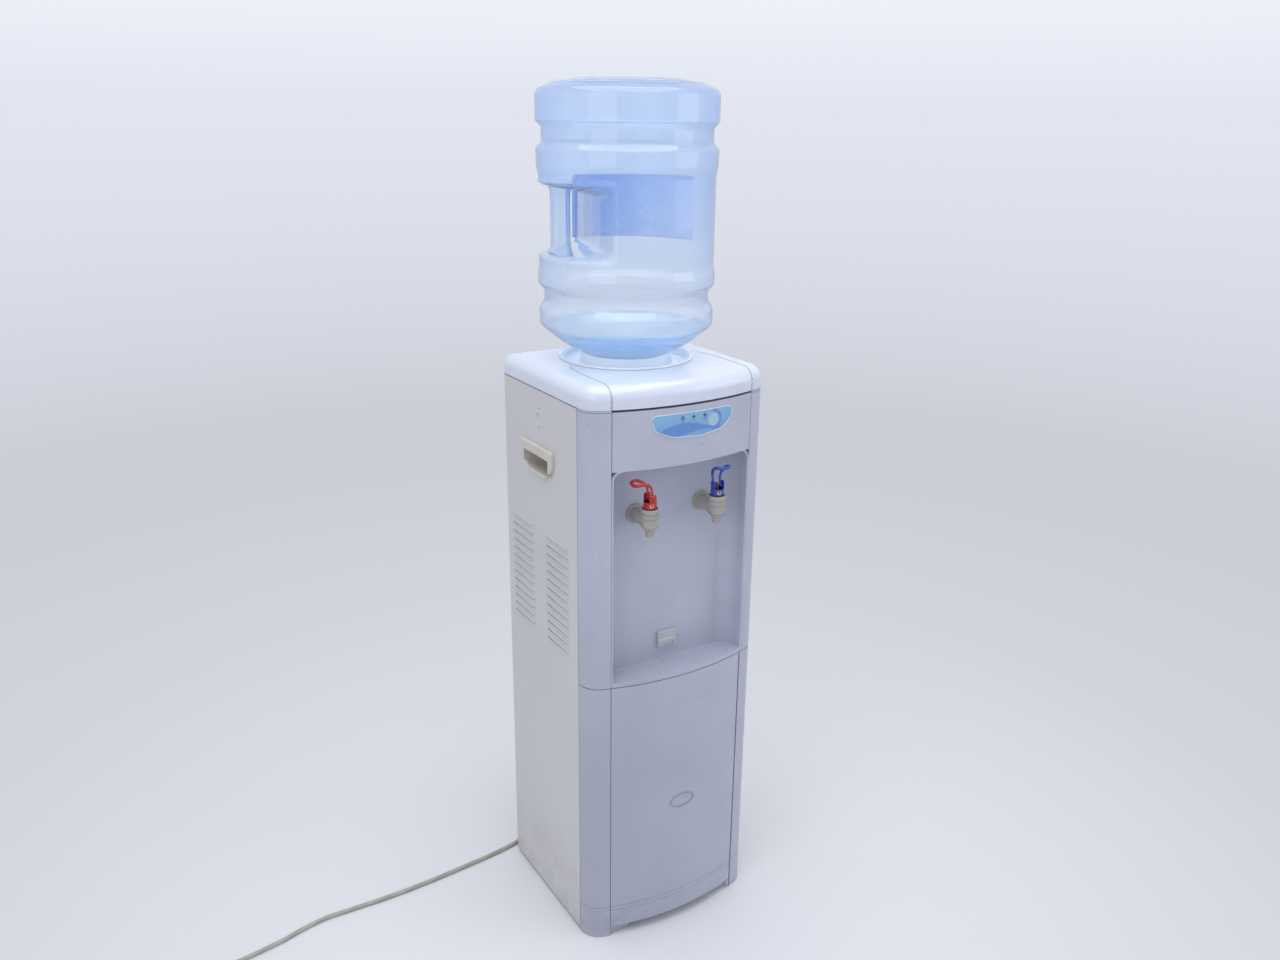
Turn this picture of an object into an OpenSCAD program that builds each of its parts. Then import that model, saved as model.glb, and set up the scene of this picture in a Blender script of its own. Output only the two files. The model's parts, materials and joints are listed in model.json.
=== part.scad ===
// Floor-standing water dispenser with a bottle on top, two lever taps and a storage cabinet.
// Millimetres. The origin is on the floor, +Z is up and the bowed front faces -Y.

/* [Cabinet] */
// Width over the two side panels
body_w = 314; // [308:1:322]
// Depth from the crown of the bowed front to the back
body_d = 300; // [296:1:320]
// Height of the side panels' top edge above the floor
body_h = 903; // [898:1:920]
// Distance of the front's crown ahead of the origin
front_reach = 156; // [152:1:160]
// Radius of the bowed front in plan
bow_r = 423; // [400:1:480]
// Radius of the front corners in plan
corner_r = 34; // [30:1:36]
// Width of the corner mouldings, from the side panel to the vertical seam
corner_w = 35.5; // [34:0.5:37]
// Open gap of every visible seam
seam_gap = 0.5; // [0.3:0.1:1]
// Height of the seam between the upper and the lower front
split_z = 464; // [462:1:466]
// Wall of the moulded plastic
wall = 2.5; // [2:0.1:3]
// Thickness of the sheet steel
sheet_t = 0.9; // [0.7:0.1:1.2]
// Width of the folded edges of the sheet steel
fold_w = 12; // [8:1:16]
// Height of the side panels' lower edge above the floor
side_low = 5; // [4:0.5:8]
// Clearance between fixed pieces that seat on each other
seat_gap = 0.3; // [0.2:0.05:0.5]
// Clearance round a turning or sliding pin
run_gap = 0.1; // [0.05:0.01:0.15]

/* [Top cover] */
// Rise of the cover's flat top above the side panels
cover_rise = 34.5; // [31:0.5:40]
// Radius of the rounding round the cover's edge
cover_round = 21; // [16:1:22]
// Radius of the hole for the bottle seat
seat_hole_r = 101; // [99:0.5:103]
// Width of the groove on the cover
groove_w = 1.6; // [1:0.1:2.5]
// Depth of the groove on the cover
groove_depth = 0.9; // [0.5:0.1:1.5]

/* [Niche] */
// Height of the ledge above the seam between the upper and the lower front
ledge_rise = 8; // [6:1:11]
// Height of the fascia above the niche, up to the side panels' top edge
fascia_h = 91.5; // [87:0.5:96]
// Depth of the niche from the front's crown
niche_depth = 55; // [50:1:58]
// Radius of the niche's upright inner corners
niche_corner = 25; // [15:1:35]
// Radius of the niche's upper corners, seen from the front
niche_upper_r = 15; // [8:1:25]
// Depth of the shallow dish in the ledge
dish_depth = 1.5; // [0.5:0.1:2.5]

/* [Taps] */
// Distance of each tap from the middle of the front
tap_x = 60; // [55:1:65]
// Distance of the taps' horizontal axis below the niche's ceiling
tap_drop = 84; // [80:0.5:90]
// Distance of each tap's upright axis ahead of the niche's back wall
tap_reach = 43; // [40:0.5:46]
// Radius of the collar round each tap's body
tap_collar_r = 13.3; // [12.5:0.1:14]
// Radius of each tap's bore
tap_bore_r = 9; // [8.5:0.1:9.5]
// Radius of the nozzle
nozzle_r = 6.85; // [6.5:0.05:7.5]
// Length of the body and nozzle below the axis
nozzle_drop = 22.5; // [20:0.5:26]
// Radius of the turning cap
cap_r = 10.25; // [9.9:0.05:11]
// Height of the turning cap above the body
cap_h = 21.7; // [20:0.1:24]
// Radius of the bent rails of each lever loop
lever_r = 20; // [18:0.5:22]
// Thickness of the lever's rail
rail_d = 3.5; // [3:0.1:4]
// Half the width of the lever loop at its broad end
lever_half_w = 11; // [9.5:0.5:12]
// Angle by which the cold lever rests tilted back
cold_tilt = 18; // [0:1:20]

/* [Bottle] */
// Radius of the bottle's two thick rings
bottle_r = 135.6; // [132:0.1:138]
// Height of the upturned bottle from its mouth to its flat base
bottle_len = 490; // [480:1:505]
// Wall of the bottle
bottle_wall = 1.6; // [1.2:0.1:2.5]
// Radius of the bottle's neck
neck_r = 27.5; // [26.5:0.5:28]
// Depth to which the pocket of the bottle's grip leaves the axis
pocket_floor = 60; // [55:1:66]
// Distance of the bottle's axis behind the origin
bottle_y = 30; // [26:1:34]

/* [Door] */
// Height of the door's lower edge above the floor
door_low = 18; // [17:0.5:22]
// Depth of the door from its skin to the inner plate
door_depth = 14; // [12:1:16]
// Radius of the rounded edge beside the hinge
nose_r = 4; // [3.5:0.1:4.5]
// Radius of the hinge pins
hinge_pin_r = 1.6; // [1.4:0.1:2]
// Half the length of the oval ring on the door
badge_half_w = 23; // [18:1:26]
// Half the height of the oval ring on the door
badge_half_h = 12.5; // [10:0.5:14]
// Height of the oval ring above the floor
badge_z = 233; // [180:1:300]

/* [Side panels] */
// Number of louvres in each column
louvre_count = 13; // [8:1:14]
// Distance between louvres
louvre_pitch = 14.3; // [13.5:0.1:15]
// Distance of the highest louvre below the side panels' top edge
louvre_drop = 224; // [214:1:232]
// Length of a louvre
louvre_len = 73; // [60:1:76]
// Height of a louvre
louvre_h = 6.5; // [5:0.5:8]
// Distance that a louvre stands proud of its panel
louvre_proud = 2.6; // [2:0.1:3.5]
// Width of the recessed handle's rim
grip_w = 104; // [100:1:110]
// Height of the recessed handle's rim
grip_h = 48; // [46:1:52]
// Distance that the recessed handle's rim stands proud
grip_proud = 6.5; // [5:0.5:7]
// Depth of the hand hollow behind the rim
grip_depth = 35; // [28:1:38]
// Distance of the middle of the handle's rim below the side panels' top edge
grip_drop = 111; // [107:1:118]
// Distance of the middle of the handle behind the origin
grip_y = 24; // [20:1:30]

/* [Tanks] */
// Radius of the cold tank
cold_r = 55; // [50:1:56]
// Height of the cold tank
cold_h = 140; // [135:1:142]
// Radius of the hot tank
hot_r = 42; // [38:1:44]
// Height of the hot tank's floor above the machine tray
hot_rise = 22; // [18:1:30]
// Room above the hot tank's lid, up to the tank shelf
hot_room = 57; // [50:1:70]
// Thickness of the hot tank's insulation
hot_foam = 14; // [12:1:15]

/* [Cord] */
// Diameter of the power cord
cord_d = 7; // [6.8:0.1:7.2]
// Turns of the put-away coil
coil_turns = 4; // [4:1:4]
// Radius of the coil's outermost turn
coil_r = 47.7; // [47.5:0.1:48]

/* [Hidden] */

$fn = 48;
eps = 0.05;
back_y = body_d - front_reach;
bow_cy = bow_r - front_reach;
seam_x = body_w / 2 - corner_w;
corner_x = body_w / 2 - corner_r;
corner_y = bow_cy - sqrt(pow(bow_r - corner_r, 2) - pow(corner_x, 2));
corner_a = atan2(corner_x, bow_cy - corner_y);
side_front = corner_y + 1.9;
side_in = body_w / 2 - sheet_t;
niche_y = niche_depth - front_reach;
niche_half = seam_x - seam_gap - wall;
plate_y = back_y - sheet_t - seat_gap;
cover_low = body_h + seat_gap;
front_top = body_h - 3;
cover_top = body_h + cover_rise;
ledge_z = split_z + ledge_rise;
niche_top = body_h - fascia_h;
tap_z = niche_top - tap_drop;
grip_z = body_h - grip_drop;
louvre_top = body_h - louvre_drop;
mouth_z = cover_top - 82.5;
bottle_top = mouth_z + bottle_len;
well_floor = cover_top - 91.5;
cold_high = well_floor - 16;
cold_low = cold_high - cold_h;
shelf_z = cold_low - 13;
tray_z = split_z - 6;
hot_low = tray_z + hot_rise;
hot_high = shelf_z - hot_room;
screw_heights = [60, 400, body_h - 43];

// Geometry helpers
function unit(v) = v / norm(v);
function arc(c, r, a0, a1, n) = [
    for (i = [0:n]) let (a = a0 + (a1 - a0) * i / n) c + r * [cos(a), sin(a)]
];
function inner(list) = [for (i = [1:len(list) - 2]) list[i]];
function backwards(list) = [for (i = [len(list) - 1:-1:0]) list[i]];
function mirror_x(list) = [for (p = backwards(list)) [-p[0], p[1]]];
function at_height(list, z) = [for (p = list) [p[0], p[1], z]];
function bow_y(x, t = 0) = bow_cy - sqrt(pow(bow_r - t, 2) - x * x);
function bow_line(x0, x1, t, n = 14) = [for (i = [0:n]) let (x = x0 + (x1 - x0) * i / n) [x, bow_y(x, t)]];

// One rounded corner of a polygon at b, between its neighbours a and c
function corner_arc(a, b, c, r, n) = r <= 0 ? [b] : let (
    u = unit(a - b),
    v = unit(c - b),
    half = acos(max(-1, min(1, u * v))) / 2,
    m = b + unit(u + v) * r / sin(half),
    p = b + u * r / tan(half) - m,
    q = b + v * r / tan(half) - m,
    a0 = atan2(p[1], p[0]),
    turn = atan2(p[0] * q[1] - p[1] * q[0], p * q)
) arc(m, r, a0, a0 + turn, n);
function rounded(pts, radii, n = 6) = [
    for (i = [0:len(pts) - 1])
        each corner_arc(pts[(i + len(pts) - 1) % len(pts)], pts[i], pts[(i + 1) % len(pts)], radii[i], n)
];
function rounded_path(pts, radii, n = 4) = concat(
    [pts[0]],
    [for (i = [1:len(pts) - 2]) each corner_arc(pts[i - 1], pts[i], pts[i + 1], radii[i], n)],
    [pts[len(pts) - 1]]
);
function box_points(x, y, cx = 0, cy = 0) = [
    [cx - x / 2, cy - y / 2], [cx + x / 2, cy - y / 2], [cx + x / 2, cy + y / 2], [cx - x / 2, cy + y / 2]
];

// A closed body through rings of equally many points
module loft(rings) {
    n = len(rings[0]);
    last = len(rings) - 1;
    polyhedron(
        points = [for (r = rings) each r],
        faces = concat(
            [[for (i = [0:n - 1]) i]],
            [for (k = [0:last - 1], i = [0:n - 1]) let (j = k * n + (i + 1) % n) each [
                [k * n + i, (k + 1) * n + i, j + n], [k * n + i, j + n, j]
            ]],
            [[for (i = [n - 1:-1:0]) last * n + i]]
        )
    );
}

// Rings of a tube along a path, carried without twist
function tangent(p, i) = unit(p[min(i + 1, len(p) - 1)] - p[max(i - 1, 0)]);
function carried(p, v, i = 0) = i == len(p) ? [] :
    let (t = tangent(p, i), m = unit(v - (v * t) * t)) concat([m], carried(p, m, i + 1));
function tube_rings(p, r, sides, start) = let (v = carried(p, start)) [
    for (i = [0:len(p) - 1]) let (t = tangent(p, i), w = cross(t, v[i]))
        [for (k = [0:sides - 1]) p[i] + r * (cos(360 * k / sides) * v[i] + sin(360 * k / sides) * w)]
];
module swept(p, r, sides, start) {
    loft(tube_rings(p, r, sides, start));
}

// A smooth curve through hand-chosen points
function spline_point(a, b, c, d, t) =
    b + 0.5 * t * ((c - a) + t * ((2 * a - 5 * b + 4 * c - d) + t * (3 * (b - c) + d - a)));
function spline(p, steps) = concat(
    [for (i = [0:len(p) - 2], k = [0:steps - 1]) spline_point(
        p[max(i - 1, 0)], p[i], p[i + 1], p[min(i + 2, len(p) - 1)], k / steps
    )],
    [p[len(p) - 1]]
);
function path_length(p) = [for (i = [1:len(p) - 1]) norm(p[i] - p[i - 1])] * [for (i = [1:len(p) - 1]) 1];

// Extrudes a profile drawn in X and Z along Y
module along_y(y0, y1) {
    translate([0, y1, 0]) rotate([90, 0, 0]) linear_extrude(y1 - y0) children();
}

// Extrudes a profile drawn in Y and Z along X
module along_x(x0, x1) {
    translate([x0, 0, 0]) rotate([90, 0, 90]) linear_extrude(x1 - x0) children();
}

module rod_y(x, z, r, y0, y1) {
    translate([x, y1, z]) rotate([90, 0, 0]) cylinder(r = r, h = y1 - y0);
}

module rod_x(y, z, r, x0, x1) {
    translate([x0, y, z]) rotate([0, 90, 0]) cylinder(r = r, h = x1 - x0);
}

// Outline of the whole body in plan, t inside the outer surface
function half_front(t) = concat(
    [for (p = inner(arc([0, bow_cy], bow_r - t, 270, 270 + corner_a, 8))) p],
    arc([corner_x, corner_y], corner_r - t, 270 + corner_a, 360, 8)
);
function body_outline(t, y_end) = let (h = half_front(t)) concat(
    [[-(body_w / 2 - t), y_end]],
    mirror_x(h),
    [[0, bow_y(0, t)]],
    h,
    [[body_w / 2 - t, y_end]]
);

// Outline of one front corner from the seam to the side panel
function corner_line(t, x0) = concat(
    [[x0, bow_y(x0, t)]],
    arc([corner_x, corner_y], corner_r - t, 270 + corner_a, 360, 8)
);

// A steel side panel with folded edges, pressed louvres and the handle's window
louvre_cols = [[-70, -70 + louvre_len], [48.5, 48.5 + louvre_len]];
louvre_section = [
    [-sheet_t / 2, 0], [louvre_proud, 0], [louvre_proud, 1], [0, louvre_h], [-sheet_t / 2, louvre_h]
];
louvre_hollow = [
    [-sheet_t - 1, -eps], [louvre_proud - sheet_t, -eps], [louvre_proud - sheet_t, 0.6],
    [-eps, louvre_h - 1.2], [-sheet_t - 1, louvre_h - 1.2]
];
module louvre_set(grow) {
    intersection() {
        along_y(louvre_cols[0][0] - 1, louvre_cols[1][1] + 1)
            for (i = [0:louvre_count - 1])
                translate([side_in + sheet_t, louvre_top - i * louvre_pitch - louvre_h])
                    polygon(grow > 0 ? louvre_hollow : louvre_section);
        for (c = louvre_cols) {
            tip = sheet_t + louvre_proud - grow;
            translate([side_in, 0, louvre_top - louvre_count * louvre_pitch - louvre_h])
                linear_extrude(louvre_count * louvre_pitch + 2 * louvre_h)
                    polygon([
                        [-1, c[0] + grow], [sheet_t, c[0] + grow], [tip, c[0] + 4 + grow],
                        [tip, c[1] - 4 - grow], [sheet_t, c[1] - grow], [-1, c[1] - grow]
                    ]);
        }
    }
}

grip_open = [82, 26];
grip_sill = grip_z - 17;
grip_rise = 7;
module side_panel() {
    high = body_h - side_low;
    deep = back_y - side_front;
    room = wall + seat_gap;
    difference() {
        union() {
            translate([side_in, side_front, side_low]) cube([sheet_t, deep, high]);
            for (y = [side_front, back_y - sheet_t])
                translate([side_in - fold_w, y, side_low]) cube([fold_w + eps, sheet_t, high]);
            for (z = [side_low, body_h - sheet_t])
                translate([side_in - fold_w, side_front, z]) cube([fold_w + eps, deep, sheet_t]);
            louvre_set(0);
        }
        louvre_set(sheet_t);
        translate([side_in - 1, grip_y - grip_open[0] / 2 - room, grip_sill - room])
            cube([sheet_t + 2, grip_open[0] + 2 * room, grip_open[1] + grip_rise + 2 * room]);
        for (z = screw_heights)
            rod_y(side_in - fold_w / 2, z, screw_r + run_gap, back_y - 3, back_y + 1);
    }
}
module left_side_panel() { color([0.72, 0.71, 0.70]) mirror([1, 0, 0]) side_panel(); }
module right_side_panel() { color([0.72, 0.71, 0.70]) side_panel(); }

// The handle is a rim with chamfered lower corners round a hollow that rises behind its hood
function grip_outline(e) = rounded([
    [-grip_w / 2 + e, grip_h / 2 - e], [-grip_w / 2 + e, -4 + e / 3], [-grip_w / 4 + e / 2, -grip_h / 2 + e],
    [grip_w / 4 - e / 2, -grip_h / 2 + e], [grip_w / 2 - e, -4 + e / 3], [grip_w / 2 - e, grip_h / 2 - e]
], [4, 6, 8, 8, 6, 4], 4);
function grip_ring(e, w) = [for (p = grip_outline(e)) [body_w / 2 + w, grip_y + p[0], grip_z + p[1]]];
module side_handle() {
    y0 = grip_y - grip_open[0] / 2;
    mouth = box_points(grip_open[0], grip_open[1], grip_y, grip_sill + grip_open[1] / 2);
    difference() {
        union() {
            loft([
                grip_ring(0, seat_gap / 2), grip_ring(0, grip_proud - 2),
                grip_ring(0.8, grip_proud - 0.7), grip_ring(2.4, grip_proud)
            ]);
            translate([body_w / 2 - grip_depth, y0 - wall, grip_sill - wall])
                cube([grip_depth + 1, grip_open[0] + 2 * wall, grip_open[1] + grip_rise + 2 * wall]);
        }
        along_x(body_w / 2 - grip_depth + wall, body_w / 2 + grip_proud + 1)
            polygon(rounded(mouth, [3, 3, 3, 3], 4));
        translate([body_w / 2 - grip_depth + wall, y0 + 1, grip_sill + 2])
            cube([grip_depth - 2 * wall - 2, grip_open[0] - 2, grip_open[1] + grip_rise - 3]);
    }
}
module side_handles() {
    color([0.86, 0.84, 0.80]) {
        side_handle();
        mirror([1, 0, 0]) side_handle();
    }
}

// The back plate has a grille behind the fan and holes for the cord, the drain and the switches
hot_x = -(side_in - hot_r - hot_foam - 12.1);
feed_x = hot_x + 72;
fan_z = tap_z + 17.5;
fan_w = 92;
grille_pitch = 7.5;
grille_slot = 4;
vent = [90, 5];
vent_x = side_in - 86.1;
vent_pitch = 12;
cord_exit = [-90, 70];
drain_at = [hot_x, hot_low + 10];
switch_at = [side_in - 61.1, body_h - 73];
switch_hole = [46, 24];
module back_panel() {
    color([0.75, 0.75, 0.74]) difference() {
        translate([-side_in + seat_gap, plate_y - sheet_t, base_z + seat_gap])
            cube([2 * (side_in - seat_gap), sheet_t, body_h - sheet_t - seat_gap - base_z - seat_gap]);
        for (i = [-5:5]) {
            half = sqrt(pow(fan_w / 2 - 4, 2) - pow(i * grille_pitch, 2));
            along_y(plate_y - 2, plate_y + 1)
                translate([0, fan_z + i * grille_pitch])
                    polygon(rounded(box_points(2 * half, grille_slot), [1.9, 1.9, 1.9, 1.9], 3));
        }
        for (i = [0:9])
            along_y(plate_y - 2, plate_y + 1)
                translate([vent_x, tray_z + 62 + i * vent_pitch])
                    polygon(rounded(box_points(vent[0], vent[1]), [2.4, 2.4, 2.4, 2.4], 3));
        rod_y(cord_exit[0], cord_exit[1], relief_neck_r + seat_gap, plate_y - 3, plate_y + 1);
        rod_y(drain_at[0], drain_at[1], drain_r + seat_gap, plate_y - 3, plate_y + 1);
        translate([switch_at[0] - switch_hole[0] / 2, plate_y - 3, switch_at[1] - switch_hole[1] / 2])
            cube([switch_hole[0], 5, switch_hole[1]]);
        for (s = [-1, 1], z = screw_heights)
            rod_y(s * (side_in - fold_w / 2), z, screw_r + run_gap, plate_y - 3, plate_y + 1);
    }
}

// Pan-head screws hold the back plate to the folded edges of the side panels
screw_r = 2;
screw_head = [3, 4, 2.2];
screw_slot = [4.6, 0.9];
screw_len = 8;
module panel_screws() {
    color([0.7, 0.7, 0.7])
        for (s = [-1, 1], z = screw_heights)
            translate([s * (side_in - fold_w / 2), back_y, z]) rotate([90, 0, 0]) {
                difference() {
                    translate([0, 0, -screw_head[2]])
                        cylinder(r1 = screw_head[0], r2 = screw_head[1], h = screw_head[2]);
                    for (a = [0, 90])
                        rotate([0, 0, a]) translate([0, 0, -screw_head[2] - 0.1])
                            linear_extrude(screw_head[2] / 2 + 0.2)
                                polygon(box_points(screw_slot[0], screw_slot[1]));
                }
                translate([0, 0, -eps]) cylinder(r = screw_r, h = screw_len);
            }
}

// The base plate is a tray with turned-up edges, narrower ahead of the side panels' folds
base_z = 10;
base_t = 1.2;
base_rim = 18;
base_front = -112;
function base_outline(t) = let (
    wide = side_in - seat_gap - t,
    narrow = side_in - fold_w - seat_gap - t,
    step = side_front + sheet_t + seat_gap + t,
    back = plate_y - sheet_t - seat_gap - t
) [
    [-narrow, base_front + t], [narrow, base_front + t], [narrow, step], [wide, step],
    [wide, back], [-wide, back], [-wide, step], [-narrow, step]
];
module base_plate() {
    color([0.6, 0.6, 0.6]) difference() {
        translate([0, 0, base_z]) linear_extrude(base_rim) polygon(base_outline(0));
        translate([0, 0, base_z + base_t]) linear_extrude(base_rim) polygon(base_outline(base_t));
        for (p = foot_places)
            translate([p[0], p[1], base_z - 1]) cylinder(r = foot_stud_r + run_gap, h = base_t + 2);
    }
}

foot_stud_r = 4;
foot_in = seam_x - 38.5;
foot_places = [
    for (s = [-1, 1]) each [[s * (foot_in - 3), base_front + 14], [s * (body_w / 2 - 27), back_y - 22]]
];
module feet() {
    color([0.12, 0.12, 0.12])
        for (p = foot_places)
            translate([p[0], p[1], 0])
                rotate_extrude() polygon([
                    [0, 0], [10.5, 0], [12, 1.5], [12, base_z - 3], [10, base_z - seat_gap / 3],
                    [foot_stud_r, base_z - seat_gap / 3], [foot_stud_r, base_z + base_t],
                    [0, base_z + base_t]
                ]);
}

// The top cover is a shell with a rounded edge, a hole for the seat and a groove round the collar
function cover_inset(a) = cover_round * (1 - cos(a));
function cover_rings(t) = let (r = cover_round - t, z0 = cover_top - cover_round) concat(
    [at_height(body_outline(t, back_y - t), cover_low - (t > 0 ? 1 : 0))],
    [for (a = [0:15:90]) at_height(
        body_outline(t + r * (1 - cos(a)), back_y - t - r * (1 - cos(a))), z0 + r * sin(a)
    )]
);
function groove_path(s) = concat(
    [[s * seam_x, -front_reach - 5], [s * seam_x, bottle_y - 88]],
    [for (a = [10:10:60]) [s * (seam_x - 14 * (1 - cos(a))), bottle_y - 88 + 60 * sin(a) / sin(60)]]
);
module groove_band(s) {
    path = groove_path(s);
    polygon(concat(
        [for (p = path) [p[0] - groove_w / 2, p[1]]],
        [for (p = backwards(path)) [p[0] + groove_w / 2, p[1]]]
    ));
}
module top_cover() {
    color([0.90, 0.91, 0.93]) difference() {
        loft(cover_rings(0));
        loft(cover_rings(wall));
        translate([0, bottle_y, cover_top - 10]) cylinder(r = seat_hole_r, h = 20, $fn = 72);
        difference() {
            for (s = [-1, 1])
                translate([0, 0, cover_low - 1]) linear_extrude(cover_top) groove_band(s);
            loft(cover_rings(groove_depth));
        }
    }
}

// Rectangle of the niche with rounded upright corners, grown outwards by a wall
module niche_space(grow) {
    w = niche_half + grow;
    r = niche_corner + grow;
    intersection() {
        linear_extrude(body_h)
            polygon(rounded(
                [[-w, -front_reach - 20], [w, -front_reach - 20], [w, niche_y + grow], [-w, niche_y + grow]],
                [0, 0, r, r], 8
            ));
        along_y(-front_reach - 20, niche_y + grow + 1)
            polygon(rounded(
                [[-w, ledge_z - grow], [w, ledge_z - grow], [w, niche_top + grow], [-w, niche_top + grow]],
                [0, 0, niche_upper_r + grow, niche_upper_r + grow], 8
            ));
    }
}
module front_block(z0, z1, t0, y_end, half) {
    translate([0, 0, z0]) linear_extrude(z1 - z0)
        polygon(concat(bow_line(-half, half, t0), [[half, y_end], [-half, y_end]]));
}
front_half = seam_x - seam_gap;
lens_r = 3;
lens_z = body_h - 20;
lens_x = [-14.4, 4.5, 24.3];
shank_r = 8;
shank_end = niche_y + wall + 18;
clip_z = [ledge_z + 20, ledge_z + 47];
module upper_front_panel() {
    edge_y = bow_y(front_half);
    color([0.70, 0.73, 0.78]) difference() {
        union() {
            intersection() {
                niche_space(wall);
                front_block(split_z + seam_gap, front_top, 0, niche_y + wall, front_half);
            }
            difference() {
                front_block(niche_top, front_top, 0, edge_y + 14, front_half);
                front_block(niche_top + wall, front_top - wall, wall, edge_y + 30, front_half - wall);
            }
            front_block(split_z + seam_gap, ledge_z, 0, niche_y + wall, front_half);
        }
        niche_space(0);
        translate([0, 0, ledge_z - dish_depth]) linear_extrude(10)
            polygon(rounded(
                [[-95, niche_y - 44], [95, niche_y - 44], [105, niche_y - 8], [-105, niche_y - 8]],
                [6, 6, 10, 10], 4
            ));
        for (s = [-1, 1])
            rod_y(s * tap_x, tap_z, shank_r + seat_gap / 2, niche_y - 1, niche_y + wall + 1);
        for (x = lens_x)
            rod_y(x, lens_z, lens_r + seat_gap / 2, -front_reach - 2, -front_reach + wall + 3);
    }
}

// One front corner moulding between two heights
module pillar(z0, z1) {
    x0 = seam_x;
    outer_line = corner_line(0, x0);
    inner_line = corner_line(wall, x0 + wall);
    back = side_front - seat_gap;
    translate([0, 0, z0]) linear_extrude(z1 - z0)
        polygon(concat(
            outer_line,
            [[body_w / 2, back], [body_w / 2 - wall, back]],
            backwards(inner_line),
            [[x0 + wall, bow_y(x0) + 26], [x0, bow_y(x0) + 26]]
        ));
}
module right_upper_pillar() { color([0.70, 0.73, 0.78]) pillar(split_z + seam_gap, body_h); }
module left_upper_pillar() {
    color([0.70, 0.73, 0.78]) mirror([1, 0, 0]) pillar(split_z + seam_gap, body_h);
}

// Both lower corners, joined by a rail under the door and one above it, with feet to the floor
rail_depth = 11.3;
rail_y = base_front - rail_depth;
module lower_front_frame() {
    color([0.68, 0.71, 0.76]) difference() {
        union() {
            for (s = [0, 1]) mirror([s, 0, 0]) {
                pillar(0, split_z);
                translate([foot_in, rail_y - 11, 0])
                    cube([seam_x + wall - foot_in, rail_depth + 11 - seat_gap, door_low - 2]);
                translate([seam_x, bow_y(seam_x) + 8, 0]) cube([wall, 18, split_z]);
            }
            translate([-foot_in - 1, rail_y - 8, 4])
                cube([2 * foot_in + 2, rail_depth + 8 - seat_gap, door_low - 6]);
            translate([-seam_x - 1, rail_y, split_z - 6]) cube([2 * seam_x + 2, rail_depth - seat_gap, 5.4]);
            translate([hinge_x, hinge_y, 4]) cylinder(r = nose_r, h = door_low - 6);
            translate([hinge_x - nose_r, hinge_y, 4]) cube([2 * nose_r, 12, door_low - 6]);
        }
        for (s = [-1, 1])
            translate([s * (foot_in + 19), rail_y, -1])
                linear_extrude(door_low - 5) polygon(box_points(30, 14));
        translate([hinge_x, hinge_y, door_low - 8]) cylinder(r = hinge_pin_r + run_gap, h = 9);
    }
}

// The blank display label and its three round lenses
label_t = 0.8;
label_points = [
    for (p = [
        [-65, 2], [-59, 7.3], [70, 7], [77.5, 2.5], [76.5, -9],
        [60, -25], [18, -30.5], [-30, -27.5], [-58, -16]
    ]) [p[0], lens_z + p[1]]
];
label_rounds = [4, 4, 6, 6, 14, 30, 60, 40, 14];
module display_panel() {
    color([0.72, 0.80, 0.90]) difference() {
        intersection() {
            along_y(-front_reach - 10, 0) polygon(rounded(label_points, label_rounds, 4));
            translate([0, 0, lens_z - 43]) linear_extrude(60)
                polygon(concat(
                    bow_line(-80, 80, -label_t - seat_gap / 3),
                    backwards(bow_line(-80, 80, -seat_gap / 3))
                ));
        }
        for (x = lens_x)
            rod_y(x, lens_z, lens_r + seat_gap / 2, -front_reach - 5, 0);
    }
}
module indicator_lenses() {
    color([0.85, 0.88, 0.92])
        for (x = lens_x)
            rod_y(x, lens_z, lens_r, bow_y(x) - label_t - 0.6, bow_y(x) + wall + 2);
}

// A small hooked bracket on the niche's back wall that carries a drip tray
module drip_tray_clip() {
    color([0.80, 0.77, 0.70]) difference() {
        along_x(-17, 16.5) polygon([
            [niche_y - seat_gap / 3, clip_z[0]], [niche_y - 6, clip_z[0]], [niche_y - 7, clip_z[0] + 10],
            [niche_y - 7, clip_z[0] + 13], [niche_y - 4, clip_z[0] + 13.6], [niche_y - 6, clip_z[1]],
            [niche_y - seat_gap / 3, clip_z[1]]
        ]);
        translate([-12, niche_y - 10, clip_z[0] - 1]) cube([24, 6, 8]);
    }
}

// The bottle stands in a white collar with stepped rings and a well round its neck
well_r = 52;
probe_hole_r = 11;
module bottle_seat() {
    lip = cover_top + seat_gap;
    rim = seat_hole_r;
    color([0.93, 0.94, 0.95]) translate([0, bottle_y, 0]) difference() {
        rotate_extrude($fn = 96) polygon([
            [rim + 4, lip], [rim + 4, lip + 1.6], [rim + 3, lip + 2.6], [rim - 1, lip + 2.6],
            [rim - 4, lip - 1], [rim - 5, lip - 6], [rim - 11, lip - 8], [well_r + 20, lip - 8],
            [well_r + 17, dome_z(well_r + 16) - seat_gap - 2], [well_r + 15, dome_z(well_r + 15) - seat_gap],
            [well_r + 8, dome_z(well_r + 8) - seat_gap], [well_r + 3, lip - 5], [well_r, lip - 14],
            [well_r, well_floor + wall], [0, well_floor + wall], [0, well_floor],
            [well_r + wall, well_floor], [well_r + wall, lip - 16], [well_r + 8, lip - 10.5],
            [rim - 8, lip - 10.5], [rim - 1.5, lip - 7], [rim - 1.5, lip]
        ]);
        translate([0, 0, well_floor - 1]) cylinder(r = probe_hole_r, h = wall + 2);
    }
}

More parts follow.
